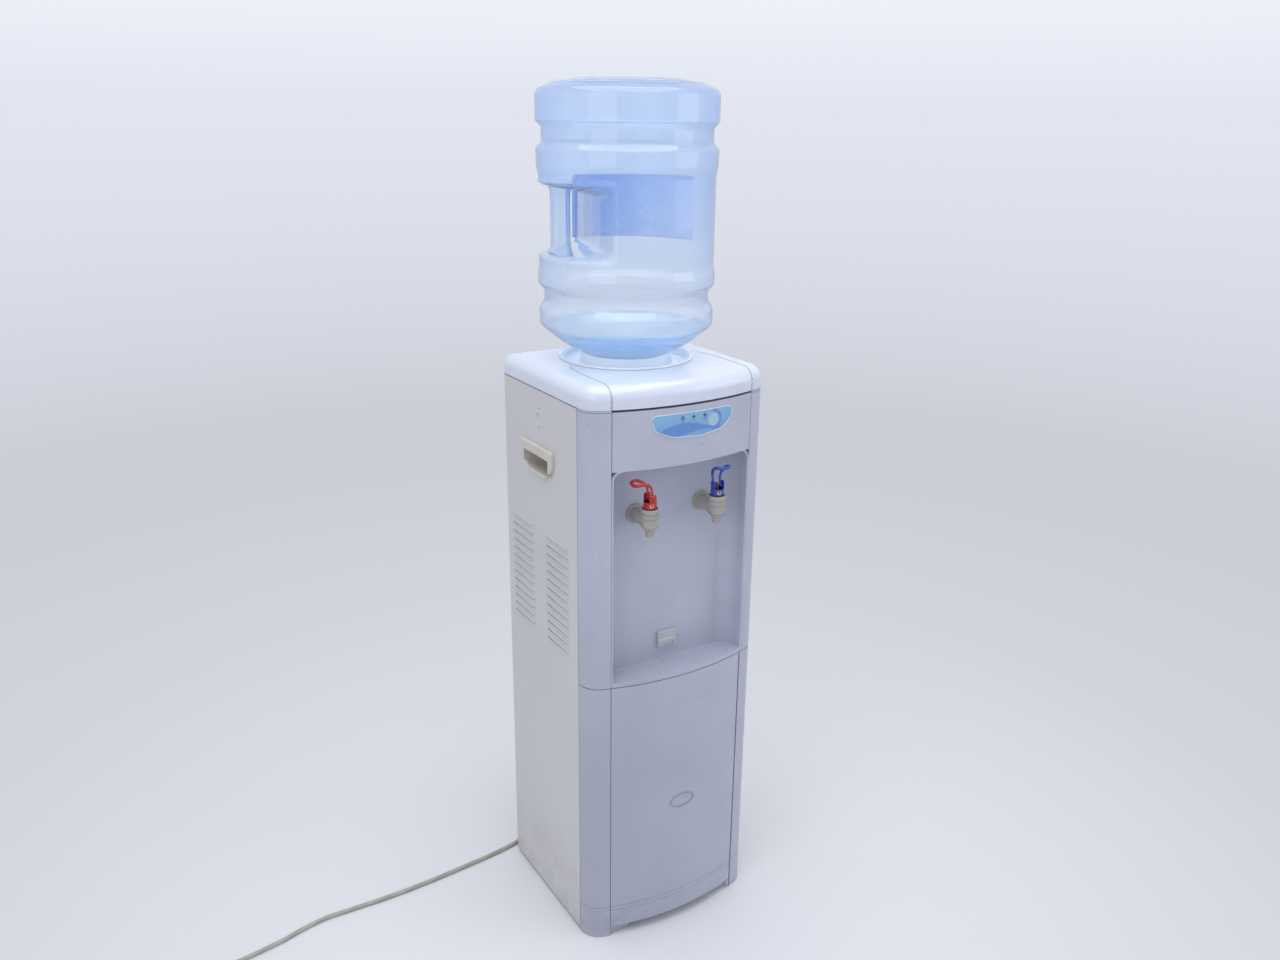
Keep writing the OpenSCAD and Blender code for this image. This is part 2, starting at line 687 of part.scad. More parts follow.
// The feed probe stands in the well, reaches into the bottle's neck and drains into the cold tank
probe_r = 11.5;
probe_tip = mouth_z + 47;
probe_flange_r = 22;
module feed_probe() {
    shank = probe_hole_r - seat_gap;
    seat = well_floor + wall + run_gap;
    color([0.95, 0.95, 0.95]) translate([0, bottle_y, 0]) difference() {
        rotate_extrude() polygon(concat(
            [[0, cold_high - 6], [shank, cold_high - 6], [shank, seat], [probe_flange_r, seat]],
            [[probe_flange_r, seat + 2.4], [probe_r, seat + 3.9]],
            arc([0, probe_tip - probe_r], probe_r, 0, 90, 6)
        ));
        translate([0, 0, cold_high - 7]) cylinder(r = shank - 1.8, h = probe_tip - cold_high - 2);
        for (a = [0, 90])
            rotate([0, 0, a]) translate([-20, -3, probe_tip - 26]) cube([40, 6, 14]);
    }
}

// The cold tank is a lidded drum with an inlet neck, a tap port and a lower port
cold_y = 10;
tank_wall = 1;
port_r = 4;
port_bore = 2.8;
foam_front = cold_y - cold_r - 11;
cold_port = [40, foam_front - 2];
module cold_tank() {
    color([0.8, 0.8, 0.8]) difference() {
        union() {
            translate([0, cold_y, cold_low]) cylinder(r = cold_r, h = cold_h);
            translate([0, bottle_y, cold_high - eps]) cylinder(r = probe_hole_r + 2.5, h = 9);
            translate([0, bottle_y, cold_high - eps]) cylinder(r = probe_hole_r + 5, h = 2);
            rod_y(cold_port[0], tap_z, port_r, cold_port[1], cold_y);
            translate([feed_x, cold_y, cold_low - 14]) cylinder(r = port_r, h = 15);
        }
        translate([0, cold_y, cold_low + tank_wall])
            cylinder(r = cold_r - tank_wall, h = cold_h - 2 * tank_wall);
        translate([0, bottle_y, cold_high - 5]) cylinder(r = probe_hole_r + run_gap, h = 20);
        rod_y(cold_port[0], tap_z, port_bore, cold_port[1] - 1, cold_y);
        translate([feed_x, cold_y, cold_low - 15]) cylinder(r = port_bore, h = 20);
    }
}

// Foam halves enclose the cold tank, with a window for the cooling module
foam_half = 72;
foam_back = cold_y + cold_r + 17;
foam_split = cold_high - 10;
block_w = 46;
module cold_tank_insulation() {
    color([0.92, 0.92, 0.90]) difference() {
        translate([0, 0, shelf_z + seat_gap])
            linear_extrude(cold_high + 8 - shelf_z - seat_gap)
                polygon(rounded([
                    [-foam_half, foam_front], [foam_half, foam_front],
                    [foam_half, foam_back], [-foam_half, foam_back]
                ], [20, 20, 8, 8], 5));
        translate([0, cold_y, cold_low - seat_gap])
            cylinder(r = cold_r + seat_gap, h = cold_h + 2 * seat_gap);
        translate([0, bottle_y, cold_high - 1]) cylinder(r = probe_hole_r + 5 + seat_gap, h = 20);
        rod_y(cold_port[0], tap_z, port_r + seat_gap, foam_front - 1, cold_y);
        translate([feed_x, cold_y, shelf_z - 1]) cylinder(r = port_r + seat_gap, h = 20);
        translate([-block_w / 2 - seat_gap, cold_y, fan_z - block_w / 2 - seat_gap])
            cube([block_w + 2 * seat_gap, foam_back, block_w + 2 * seat_gap]);
        translate([-200, -200, foam_split]) cube([400, 400, seat_gap]);
    }
}

// The hot tank is a smaller drum with a heater band, an inlet, an outlet and a drain port
hot_y = 10;
hot_h = hot_high - hot_low;
band_z = hot_low + 20;
module hot_tank() {
    color([0.75, 0.74, 0.72]) difference() {
        union() {
            translate([hot_x, hot_y, hot_low]) cylinder(r = hot_r, h = hot_h);
            translate([hot_x, hot_y, band_z]) cylinder(r = hot_r + 1.5, h = 40);
            translate([hot_x, hot_y, hot_high - eps]) cylinder(r = port_r, h = 24);
            rod_x(hot_y, hot_low + 12, port_r, hot_x, hot_x + hot_r + hot_foam + 4);
            rod_y(hot_x, drain_at[1], port_r, hot_y, hot_y + hot_r + hot_foam + 4);
        }
        translate([hot_x, hot_y, hot_low + tank_wall])
            cylinder(r = hot_r - tank_wall, h = hot_h - 2 * tank_wall);
        translate([hot_x, hot_y, hot_high - 4]) cylinder(r = port_bore, h = 40);
        rod_x(hot_y, hot_low + 12, port_bore, hot_x, hot_x + hot_r + hot_foam + 5);
        rod_y(hot_x, drain_at[1], port_bore, hot_y, hot_y + hot_r + hot_foam + 5);
    }
}
module hot_tank_insulation() {
    color([0.85, 0.82, 0.72]) difference() {
        translate([hot_x, hot_y, tray_z + seat_gap])
            cylinder(r = hot_r + hot_foam, h = hot_high + 12 - tray_z - seat_gap);
        translate([hot_x, hot_y, hot_low - seat_gap])
            cylinder(r = hot_r + 1.5 + seat_gap, h = hot_h + 2 * seat_gap);
        translate([hot_x, hot_y, hot_high]) cylinder(r = port_r + seat_gap, h = 40);
        rod_x(hot_y, hot_low + 12, port_r + seat_gap, hot_x, hot_x + hot_r + hot_foam + 5);
        rod_y(hot_x, drain_at[1], port_r + seat_gap, hot_y, hot_y + hot_r + hot_foam + 5);
    }
}

// Steel shelves with turned-down edges span between the side panels
module steel_shelf(z, y0, y1) {
    half = side_in - seat_gap;
    difference() {
        translate([-half, y0, z - fold_w]) cube([2 * half, y1 - y0, fold_w]);
        translate([base_t - half, y0 + base_t, z - fold_w - 1])
            cube([2 * (half - base_t), y1 - y0 - 2 * base_t, fold_w + 1 - base_t]);
    }
}
module tank_shelf() {
    color([0.65, 0.65, 0.65]) difference() {
        steel_shelf(shelf_z, foam_front - 6, foam_back + 4);
        translate([hot_x, hot_y, shelf_z - 5]) cylinder(r = 8, h = 10);
        translate([feed_x, hot_y, shelf_z - 5]) cylinder(r = 8, h = 10);
    }
}
module machine_tray() {
    color([0.65, 0.65, 0.65]) steel_shelf(tray_z, niche_y + wall + 2, plate_y - sheet_t - seat_gap);
}

// Soft tubes join the tanks to each other and to the taps
tube_r = 6;
tube_bore = 4.15;
module hollow_tube(path, start) {
    curve = spline(path, 4);
    last = len(curve) - 1;
    ends = concat(
        [curve[0] - unit(curve[1] - curve[0])],
        curve,
        [curve[last] + unit(curve[last] - curve[last - 1])]
    );
    difference() {
        swept(curve, tube_r, 10, start);
        swept(ends, tube_bore, 10, start);
    }
}
module hot_feed_tube() {
    low = hot_low + 12;
    x_end = hot_x + hot_r + hot_foam + 1;
    color([0.9, 0.9, 0.88]) hollow_tube([
        [feed_x, hot_y, cold_low - 15 - seat_gap], [feed_x, hot_y, cold_low - 40], [feed_x, hot_y, low + 30],
        [feed_x - 3, hot_y, low + 10], [feed_x - 9, hot_y, low + 2], [x_end + 4 + seat_gap, hot_y, low]
    ], [0, 1, 0]);
}
module cold_outlet_tube() {
    color([0.85, 0.9, 0.95]) hollow_tube([
        [cold_port[0], cold_port[1] - seat_gap, tap_z], [cold_port[0] + 2, cold_port[1] - 5, tap_z],
        [tap_x - 2, shank_end + 5, tap_z], [tap_x, shank_end + seat_gap, tap_z]
    ], [0, 0, 1]);
}
module hot_outlet_tube() {
    color([0.9, 0.9, 0.88]) hollow_tube([
        [hot_x, hot_y, hot_high + 24 + seat_gap], [hot_x, hot_y, hot_high + 45], [hot_x, hot_y, tap_z - 40],
        [hot_x, hot_y - 6, tap_z - 20], [hot_x, hot_y - 20, tap_z - 6], [hot_x + 6, hot_y - 42, tap_z],
        [-tap_x - 3, shank_end + 10, tap_z], [-tap_x, shank_end + seat_gap, tap_z]
    ], [0, 1, 0]);
}

// Thermoelectric cooling: a cold block, a thin plate, a finned heat sink and a fan behind it
sink_front = foam_back + 4.5;
sink_d = 28;
sink_w = 100;
sink_plate = 6;
fin_t = 1.5;
fin_pitch = 6.5;
plate_w = 40;
fan_d = 25;
fan_front = sink_front + sink_d + seat_gap;
module cooling_module() {
    color([0.8, 0.8, 0.82]) {
        translate([-block_w / 2, cold_y + cold_r + seat_gap, fan_z - block_w / 2])
            cube([block_w, foam_back - cold_y - cold_r, block_w]);
        translate([-plate_w / 2, foam_back, fan_z - plate_w / 2])
            cube([plate_w, sink_front - foam_back - seat_gap, plate_w]);
    }
}
module heat_sink() {
    color([0.7, 0.7, 0.72]) {
        translate([-sink_w / 2, sink_front, fan_z - sink_w / 2]) cube([sink_w, sink_plate, sink_w]);
        for (i = [0:floor((sink_w - 1) / fin_pitch)])
            translate([0.5 - sink_w / 2 + i * fin_pitch, sink_front + sink_plate - eps, fan_z - sink_w / 2])
                cube([fin_t, sink_d - sink_plate + eps, sink_w]);
    }
}
module fan_frame() {
    color([0.1, 0.1, 0.1]) difference() {
        union() {
            difference() {
                translate([-fan_w / 2, fan_front, fan_z - fan_w / 2]) cube([fan_w, fan_d, fan_w]);
                rod_y(0, fan_z, fan_w / 2 - 2, fan_front - 1, fan_front + fan_d + 1);
            }
            for (a = [0, 90])
                translate([0, fan_front + fan_d - 3, fan_z])
                    rotate([0, a, 0]) translate([1 - fan_w / 2, 0, -3]) cube([fan_w - 2, 2.8, 6]);
            rod_y(0, fan_z, 18, fan_front + fan_d - 3.2, fan_front + fan_d - 0.1);
            rod_y(0, fan_z, 2, fan_front + 6, fan_front + fan_d - 3 + eps);
        }
        for (i = [-1, 1], k = [-1, 1])
            rod_y(i * 41, fan_z + k * 41, 2.2, fan_front - 1, fan_front + fan_d + 1);
    }
}
module fan_rotor() {
    y0 = fan_front + 2;
    y1 = fan_front + fan_d - 3.6;
    color([0.15, 0.15, 0.15]) difference() {
        union() {
            rod_y(0, fan_z, 18, y0, y1);
            for (i = [0:6])
                translate([0, (y0 + y1) / 2, fan_z]) rotate([0, i * 360 / 7, 0]) translate([28, 0, 0])
                    rotate([35, 0, 0]) cube([28, 1.6, 20], center = true);
        }
        rod_y(0, fan_z, 2 + run_gap / 2, y0 + 3.9, y1 + 1);
    }
}

// Power supply in a vented case, and the control board on its lid
supply = [100, 90, 45];
supply_at = [side_in - 118.1, -50];
module power_supply() {
    color([0.6, 0.6, 0.62]) difference() {
        translate([supply_at[0], supply_at[1], tray_z + seat_gap]) cube(supply);
        for (i = [0:5])
            translate([supply_at[0] - 1, supply_at[1] + 12 + i * 12, tray_z + 12]) cube([3, 5, 24]);
    }
}
module control_board() {
    z = tray_z + seat_gap + supply[2];
    color([0.1, 0.4, 0.2]) {
        translate([supply_at[0] + 5, supply_at[1] + 5, z + 6]) cube([90, 80, 1.6]);
        for (x = [9, 91], y = [9, 81])
            translate([supply_at[0] + x, supply_at[1] + y, z + 0.1]) cylinder(r = 2.5, h = 6);
        translate([supply_at[0] + 18, supply_at[1] + 20, z + 7.5]) cube([18, 26, 14]);
        translate([supply_at[0] + 50, supply_at[1] + 24, z + 7.5]) cube([22, 16, 16]);
        for (i = [0:2])
            translate([supply_at[0] + 46 + i * 14, supply_at[1] + 64, z + 7.5]) cylinder(r = 5, h = 14);
    }
}

// The storage compartment is an open-fronted box
liner_half = seam_x - 4.5;
liner_front = base_front + 1;
liner_back = 118;
module storage_liner() {
    low = base_z + base_t + seat_gap;
    high = tray_z - fold_w - seat_gap;
    color([0.88, 0.88, 0.86]) difference() {
        union() {
            translate([-liner_half, liner_front + 1.5, low])
                cube([2 * liner_half, liner_back - liner_front, high - low]);
            translate([-liner_half - 4, liner_front + 1.5, door_low + 10])
                cube([2 * liner_half + 8, 2, high - door_low - 10]);
        }
        translate([2 - liner_half, liner_front - 1, low + 2])
            cube([2 * liner_half - 4, liner_back - liner_front - 1, high - low - 4]);
    }
}

// The door swings about two short pins near its right edge
door_top = split_z - seam_gap;
door_left = -seam_x + 1;
hinge_x = seam_x - 1.3 - nose_r;
hinge_y = bow_cy - sqrt(pow(bow_r - nose_r, 2) - hinge_x * hinge_x);
door_back = bow_y(seam_x) + door_depth;
function door_outline(t) = concat(
    [[door_left + t, bow_y(door_left + t, t)]],
    inner(bow_line(door_left, hinge_x, t, 16)),
    arc([hinge_x, hinge_y], nose_r - t, 270 + asin(hinge_x / (bow_r - nose_r)), 360, 6),
    [[hinge_x + nose_r - t, hinge_y + 1], [hinge_x - 2, door_back], [door_left + t, door_back]]
);
line_heights = [49.2, 56.2];
line_w = 1.6;
module door_panel() {
    color([0.70, 0.73, 0.78]) difference() {
        translate([0, 0, door_low]) linear_extrude(door_top - door_low) polygon(door_outline(0));
        translate([0, 0, door_low + wall]) linear_extrude(door_top - door_low - 2 * wall)
            polygon(concat(
                bow_line(door_left + wall, hinge_x - 8, wall, 16),
                [[hinge_x - 8, door_back + 1], [door_left + wall, door_back + 1]]
            ));
        for (z = line_heights)
            translate([0, 0, z]) linear_extrude(line_w)
                polygon(concat(
                    bow_line(door_left - 1, hinge_x + 6, -1, 16),
                    backwards(bow_line(door_left - 1, hinge_x + 6, 0.8, 16))
                ));
        translate([hinge_x, hinge_y, door_low - 1]) cylinder(r = hinge_pin_r + run_gap, h = 16);
        translate([hinge_x, hinge_y, door_top - 15]) cylinder(r = hinge_pin_r + run_gap, h = 16);
    }
}
catch_z = 240;
module door_inner() {
    high = door_top - door_low - 2 * wall - 2 * seat_gap;
    color([0.85, 0.86, 0.88]) {
        translate([door_left + wall + seat_gap, door_back - 2, door_low + wall + seat_gap])
            cube([hinge_x - 8 - door_left - wall - 2 * seat_gap, 2, high]);
        for (x = [-80, -20, 40])
            translate([x, door_back - 7, door_low + 30]) cube([2, 5 + eps, door_top - door_low - 60]);
    }
}

// An oval ring with no lettering
module door_badge() {
    color([0.80, 0.83, 0.88]) intersection() {
        along_y(-front_reach - 10, 0) translate([3, badge_z]) difference() {
            polygon([for (a = [0:10:350]) [badge_half_w * cos(a), badge_half_h * sin(a)]]);
            polygon([for (a = [0:10:350]) [(badge_half_w - 2) * cos(a), (badge_half_h - 2) * sin(a)]]);
        }
        translate([0, 0, badge_z - 30]) linear_extrude(60)
            polygon(concat(bow_line(-40, 40, -1.2), backwards(bow_line(-40, 40, -seat_gap / 3))));
    }
}

// A roller catch on the compartment's frame, opposite the door's inner plate
module door_catch() {
    y0 = door_back + seat_gap;
    y1 = liner_front + 1.5 - seat_gap / 3;
    color([0.9, 0.9, 0.9]) {
        translate([-liner_half - 3, y0 + 2.5, catch_z - 14]) cube([5, y1 - y0 - 2.5, 28]);
        for (s = [-1, 1])
            translate([-liner_half - 3, y0, catch_z + s * 6 - 2]) cube([5, 3, 4]);
    }
}
module hinge_pins() {
    color([0.7, 0.7, 0.7]) {
        translate([hinge_x, hinge_y, door_low - 7]) cylinder(r = hinge_pin_r, h = 20);
        translate([hinge_x, hinge_y, door_top - 13]) cylinder(r = hinge_pin_r, h = 13.4);
        translate([hinge_x - 6, hinge_y - 3, door_top + 0.1]) cube([11, 34, seam_gap + 0.2]);
    }
}

// Taps are drawn about the upright axis, with the outlet axis at z = 0 and the front at -Y
tap_y = niche_y - tap_reach;
tap_low = 4.5;
collar_low = 6.5;
collar_high = 21.5;
cap_low = collar_high + 0.8;
cap_top = cap_low + cap_h;
pivot_z = cap_top - 8;
lever_base = 6;
slot_half = lever_base + rail_d / 2 + 0.25;
trunnion_r = 1.5;
module tap_body() {
    difference() {
        union() {
            rod_y(0, 0, 11, 0, tap_reach - 2);
            rod_y(0, 0, 15.5, tap_reach - 3.2, tap_reach - seat_gap / 3);
            rod_y(0, 0, shank_r, tap_reach - 1, shank_end - tap_y);
            translate([0, 0, -7.5]) cylinder(r = tap_collar_r - 1.3, h = collar_low + 8);
            rotate_extrude() polygon([
                [0, collar_low], [tap_collar_r - 0.8, collar_low], [tap_collar_r, collar_low + 0.8],
                [tap_collar_r, collar_high - 1], [tap_collar_r - 1, collar_high], [0, collar_high]
            ]);
            translate([0, 0, -nozzle_drop]) cylinder(r = nozzle_r, h = nozzle_drop - 6);
            translate([0, 0, -13.5]) cylinder(r1 = nozzle_r, r2 = tap_collar_r - 1.3, h = 6 + eps);
        }
        translate([0, 0, -tap_low]) cylinder(r = tap_bore_r, h = collar_high + tap_low + 1);
        translate([0, 0, -nozzle_drop - 1]) cylinder(r = nozzle_r - 2.2, h = nozzle_drop + 1);
        rod_y(0, 0, 4, 0, shank_end - tap_y + 1);
    }
}
module tap_cap() {
    difference() {
        union() {
            translate([0, 0, 12]) cylinder(r = tap_bore_r - run_gap / 2, h = cap_low - 12 + eps);
            rotate_extrude() polygon([
                [0, cap_low], [cap_r, cap_low], [cap_r, cap_top - 1], [cap_r - 1, cap_top], [0, cap_top]
            ]);
        }
        translate([0, 0, 11]) cylinder(r = 7.2, h = cap_top);
        translate([-slot_half, -20, pivot_z - 3.7]) cube([2 * slot_half, 40, 20]);
        rod_x(0, pivot_z, trunnion_r + run_gap / 2, -20, 20);
    }
}

// Half the lever's width at an angle along its arc, and the closed tip beyond it
bend_a = 95;
tip_a = 118;
function lever_point(side, w, a) = [side * w, -(lever_r - lever_r * cos(a)), 8 + lever_r * sin(a)];
function rail_half(a) = lever_base + (lever_half_w - lever_base) * pow(sin(a * 90 / bend_a), 1.4);
function tip_point(b) = lever_point(sign(b), lever_half_w * sin(abs(b)), bend_a + (tip_a - bend_a) * cos(b));
function lever_path() = concat(
    [[-lever_base, 0, 0], [-lever_base, 0, 5]],
    [for (a = [0:13.5:bend_a]) lever_point(-1, rail_half(a), a)],
    [for (b = [-75:15:75]) tip_point(b)],
    [for (i = [7:-1:0]) lever_point(1, rail_half(i * 13.5), i * 13.5)],
    [[lever_base, 0, 5], [lever_base, 0, 0]]
);
module tap_lever() {
    swept(lever_path(), rail_d / 2, 8, [1, 0, 0]);
    for (s = [-1, 1]) {
        rod_x(0, 0, 3, s * lever_base - rail_d / 2, s * lever_base + rail_d / 2);
        rod_x(4.2, 0, 2.2, s * lever_base - rail_d / 2, s * lever_base + rail_d / 2);
        translate([s * lever_base - rail_d / 2, 0, -1.8]) cube([rail_d, 4.2, 3.6]);
        rod_x(0, 0, trunnion_r, s > 0 ? lever_base : -cap_r + 0.4, s > 0 ? cap_r - 0.4 : -lever_base);
    }
    rod_x(4.2, 0, 1.2, -lever_base, lever_base);
}
module tap_stem() {
    translate([0, 0, 3]) cylinder(r = 2.2, h = pivot_z + 1.5);
    translate([0, 0, 8]) cylinder(r = 6.8, h = 2.5);
    translate([-3, -2.2, pivot_z + 1.4]) cube([6, 8.4, 2.4]);
}
module tap_seal() {
    rotate_extrude() polygon([
        [0, seat_gap - tap_low], [6, seat_gap - tap_low], [6.8, 0], [8.2, 4], [8.2, 5.5],
        [2.2 + run_gap, 4.2], [2.2 + run_gap, 2.9], [0, 2.9]
    ]);
}
module at_tap(s) { translate([s * tap_x, tap_y, tap_z]) children(); }
module hot_tap_body() { color([0.66, 0.64, 0.61]) at_tap(-1) tap_body(); }
module cold_tap_body() { color([0.66, 0.64, 0.61]) at_tap(1) tap_body(); }
module hot_tap_cap() { color([0.75, 0.12, 0.12]) at_tap(-1) rotate([0, 0, -90]) tap_cap(); }
module cold_tap_cap() { color([0.15, 0.25, 0.65]) at_tap(1) tap_cap(); }
module hot_tap_lever() {
    color([0.75, 0.12, 0.12]) at_tap(-1) rotate([0, 0, -90]) translate([0, 0, pivot_z]) tap_lever();
}
module cold_tap_lever() {
    color([0.15, 0.25, 0.65]) at_tap(1) translate([0, 0, pivot_z]) rotate([-cold_tilt, 0, 0]) tap_lever();
}
module hot_tap_stem() { color([0.9, 0.9, 0.9]) at_tap(-1) rotate([0, 0, -90]) tap_stem(); }
module cold_tap_stem() { color([0.9, 0.9, 0.9]) at_tap(1) tap_stem(); }
module hot_tap_seal() { color([0.85, 0.85, 0.8]) at_tap(-1) tap_seal(); }
module cold_tap_seal() { color([0.85, 0.85, 0.8]) at_tap(1) tap_seal(); }

// Hexagonal nuts clamp the tap shanks behind the niche wall
module tap_nuts() {
    color([0.85, 0.85, 0.85])
        for (s = [-1, 1])
            difference() {
                translate([s * tap_x, niche_y + wall + 8, tap_z])
                    rotate([90, 0, 0]) cylinder(r = 14, h = 8 - seat_gap / 3, $fn = 6);
                rod_y(s * tap_x, tap_z, shank_r + run_gap, niche_y, niche_y + 20);
            }
}

// Two rocker switches in one housing at the top of the back
rocker = [16, 20];
rocker_dx = 11;
rocker_play = 1.1;
axle_half = rocker_dx + rocker[0] / 2 + 1.6;
rocker_y = back_y + 1.2;
module switch_housing() {
    x0 = switch_at[0];
    z0 = switch_at[1];
    color([0.12, 0.12, 0.12]) difference() {
        union() {
            along_y(plate_y + 0.1, back_y + 1.5)
                polygon(rounded(box_points(54, 32, x0, z0), [3, 3, 3, 3], 4));
            translate([x0 - switch_hole[0] / 2 + seat_gap, plate_y - 16, z0 - switch_hole[1] / 2 + seat_gap])
                cube([switch_hole[0] - 2 * seat_gap, 17, switch_hole[1] - 2 * seat_gap]);
        }
        for (x = [x0 - rocker_dx, x0 + rocker_dx])
            along_y(plate_y - 13, back_y + 10)
                polygon(box_points(rocker[0] + 2 * seat_gap, rocker[1] + 2 * seat_gap, x, z0));
        rod_x(rocker_y - 6, z0, 1 + run_gap / 2, x0 - axle_half, x0 + axle_half);
    }
}
module rocker_cap(s) {
    x0 = switch_at[0] + s * rocker_dx;
    half = rocker[1] / 2 - rocker_play;
    color(s < 0 ? [0.7, 0.1, 0.1] : [0.1, 0.4, 0.2]) {
        along_x(x0 - rocker[0] / 2, x0 + rocker[0] / 2) translate([rocker_y, switch_at[1]])
            polygon([[-8, -3], [-2, -half], [1.5, -half], [0, 0], [1.5, half], [-2, half], [-8, 3]]);
        rod_x(rocker_y - 6, switch_at[1], 1, x0 - rocker[0] / 2 - 1.2, x0 + rocker[0] / 2 + 1.2);
    }
}
module hot_switch() { rocker_cap(-1); }
module cold_switch() { rocker_cap(1); }

// The hot tank's drain comes out at the back under a push-on cap
drain_r = 7;
module drain_outlet() {
    y0 = hot_y + hot_r + hot_foam + 4 + seat_gap;
    color([0.9, 0.9, 0.9]) difference() {
        union() {
            rod_y(drain_at[0], drain_at[1], drain_r, y0, back_y + 9);
            rod_y(drain_at[0], drain_at[1], drain_r + 5, plate_y + 0.1, plate_y + 2.6);
        }
        rod_y(drain_at[0], drain_at[1], drain_r - 2.5, y0 - 1, back_y + 10);
    }
}
module drain_cap() {
    color([0.85, 0.85, 0.85]) difference() {
        rod_y(drain_at[0], drain_at[1], drain_r + 2.6, plate_y + 2.6 + seat_gap, back_y + 12);
        rod_y(drain_at[0], drain_at[1], drain_r + run_gap, plate_y, back_y + 9 + seat_gap);
        for (a = [0:30:330])
            translate([drain_at[0], 0, drain_at[1]])
                rotate([0, a, 0]) rod_y(drain_r + 3.2, 0, 1, back_y + 3, back_y + 13);
    }
}

// Tapered, ribbed relief where the cord leaves the back
relief_neck_r = 6;
relief_end = 174;
module strain_relief() {
    ribs = [
        for (i = [0:4]) let (y = 8 + i * 4.4, r = 7.4 - i * 0.45)
            each [[r, y], [r, y + 2.2], [r - 1.1, y + 2.6], [r - 1.1, y + 4]]
    ];
    color([0.75, 0.73, 0.70]) translate([cord_exit[0], plate_y, cord_exit[1]]) rotate([-90, 0, 0])
        rotate_extrude() polygon(concat(
            [[0, -4], [relief_neck_r, -4], [relief_neck_r, 0.1], [9.5, 0.1], [9.5, 3], [7.6, 4.4]],
            ribs,
            [[cord_d / 2 + 0.6, relief_end - plate_y], [0, relief_end - plate_y]]
        ));
}

// Route of the free cord from the relief to the coil, chosen by hand
cord_route = [
    [-90, 174, 70], [-90, 183, 70], [-90, 194, 67.5], [-90, 204, 60.5], [-90, 211, 50],
    [-90.5, 213.5, 37], [-92, 211.5, 24], [-96, 206.5, 13], [-103, 198.5, 6], [-112, 188, 3.8],
    [-124, 175.5, 3.55], [-138, 166, 3.5], [-153, 159.5, 3.5], [-178, 153.5, 3.5], [-205, 149.5, 3.5],
    [-235, 146, 3.5], [-266, 143, 3.5], [-295, 140.5, 3.5], [-325, 138, 3.5], [-372, 135.5, 3.5],
    [-416, 135, 3.5], [-448, 136, 3.5], [-478, 137, 3.5], [-504, 138, 3.5], [-526, 137, 3.5],
    [-548, 133, 3.5], [-571, 127, 3.5], [-594, 121, 3.5], [-628, 115, 3.5], [-662, 110.5, 3.5],
    [-686, 105, 3.5], [-706.5, 95.5, 3.5]
];
module power_cord() {
    color([0.72, 0.70, 0.66]) swept(free_path, cord_d / 2, 12, [1, 0, 0]);
}

// Coil in two layers: it spirals in on the floor, climbs at its middle and spirals out again
coil_c = [-694, 44];
coil_a = 138;
coil_step = cord_d + 0.5;
coil_lead = 38;
function climb(t) = let (u = max(0, min(1, (t - coil_turns / 2 + 0.25) * 2))) u * u * (3 - 2 * u);
function coil_point(t) = let (
    r = coil_r - coil_step * (coil_turns / 2 - abs(t - coil_turns / 2)),
    a = coil_a + 360 * t
) [coil_c[0] + r * cos(a), coil_c[1] + r * sin(a), cord_d / 2 + coil_step * climb(t)];
coil_dir = [cos(coil_a + 90), sin(coil_a + 90), 0];
coil_path = concat(
    [coil_point(0) - cord_d * coil_dir],
    [for (i = [0:24 * coil_turns]) coil_point(i / 24)],
    [coil_point(coil_turns) + coil_lead / 2 * coil_dir, coil_point(coil_turns) + coil_lead * coil_dir]
);
coil_self_gap = min([
    for (i = [0:4:24 * coil_turns], j = [i + 12:24 * coil_turns])
        norm(coil_point(i / 24) - coil_point(j / 24))
]) - cord_d;
free_path = spline(concat(cord_route, [coil_path[0]]), 2);
echo(coil_least_gap = coil_self_gap);
echo(coil_length = path_length(coil_path), cord_length = path_length(free_path));
module cord_coil() {
    color([0.72, 0.70, 0.66]) swept(coil_path, cord_d / 2, 6, [0, 0, 1]);
}

// A moulded plug with two slanted blades and an earth blade lies beside the coil
module power_plug() {
    start = coil_point(coil_turns) + coil_lead * coil_dir;
    color([0.70, 0.68, 0.64]) translate(start) rotate([0, 0, coil_a + 90]) rotate([90, 0, 90]) {
        rotate_extrude() polygon([
            [0, 0.1], [5, 0.1], [5.4, 6], [4.6, 6.5], [4.8, 9], [6, 9.5], [6, 12],
            [5.2, 12.5], [5.4, 15], [7, 15.5], [7, 20], [0, 20]
        ]);
        translate([0, 0, 18]) linear_extrude(26) polygon(rounded(box_points(24, 20.8), [6, 6, 6, 6], 5));
        for (s = [-1, 1])
            translate([s * 4.3, -3.5, 43]) rotate([0, 0, s * 30])
                linear_extrude(17) polygon(box_points(1.6, 6.4));
        translate([0, 5.2, 43]) linear_extrude(20) polygon(box_points(1.6, 6.4));
    }
}

// Profile of the upturned bottle from its mouth to its base
bottle_profile = concat(
    [for (p = [
        [neck_r, 0], [neck_r, 48], [neck_r + 8.5, 67], [neck_r + 18.5, 79], [neck_r + 32.5, 87.5],
        [neck_r + 46.5, 94], [bottle_r - 34.6, 109.5], [bottle_r - 2, 136], [bottle_r - 2, 160],
        [bottle_r - 10, 172], [bottle_r - 10, 187], [bottle_r - 1, 198], [bottle_r - 1, 214],
        [bottle_r - 3, 226]
    ]) [p[0], mouth_z + p[1]]],
    [for (p = [
        [bottle_r - 3, 135], [bottle_r, 119], [bottle_r, 97], [bottle_r - 8, 88], [bottle_r - 8, 68],
        [bottle_r, 59], [bottle_r, 16], [bottle_r - 23.6, 5], [bottle_r - 51.6, 0], [bottle_r - 57.6, 0],
        [bottle_r - 61.6, 7], [0, 7]
    ]) [p[0], bottle_top - p[1]]]
);
bottle_fillets = [0, 12, 14, 30, 60, 80, 60, 14, 8, 5, 5, 5, 6, 8, 10, 6, 6, 4, 4, 6, 14, 14, 4, 2, 3, 0];
function dome_z(r) = lookup(r, [for (i = [3:5]) bottle_profile[i]]);

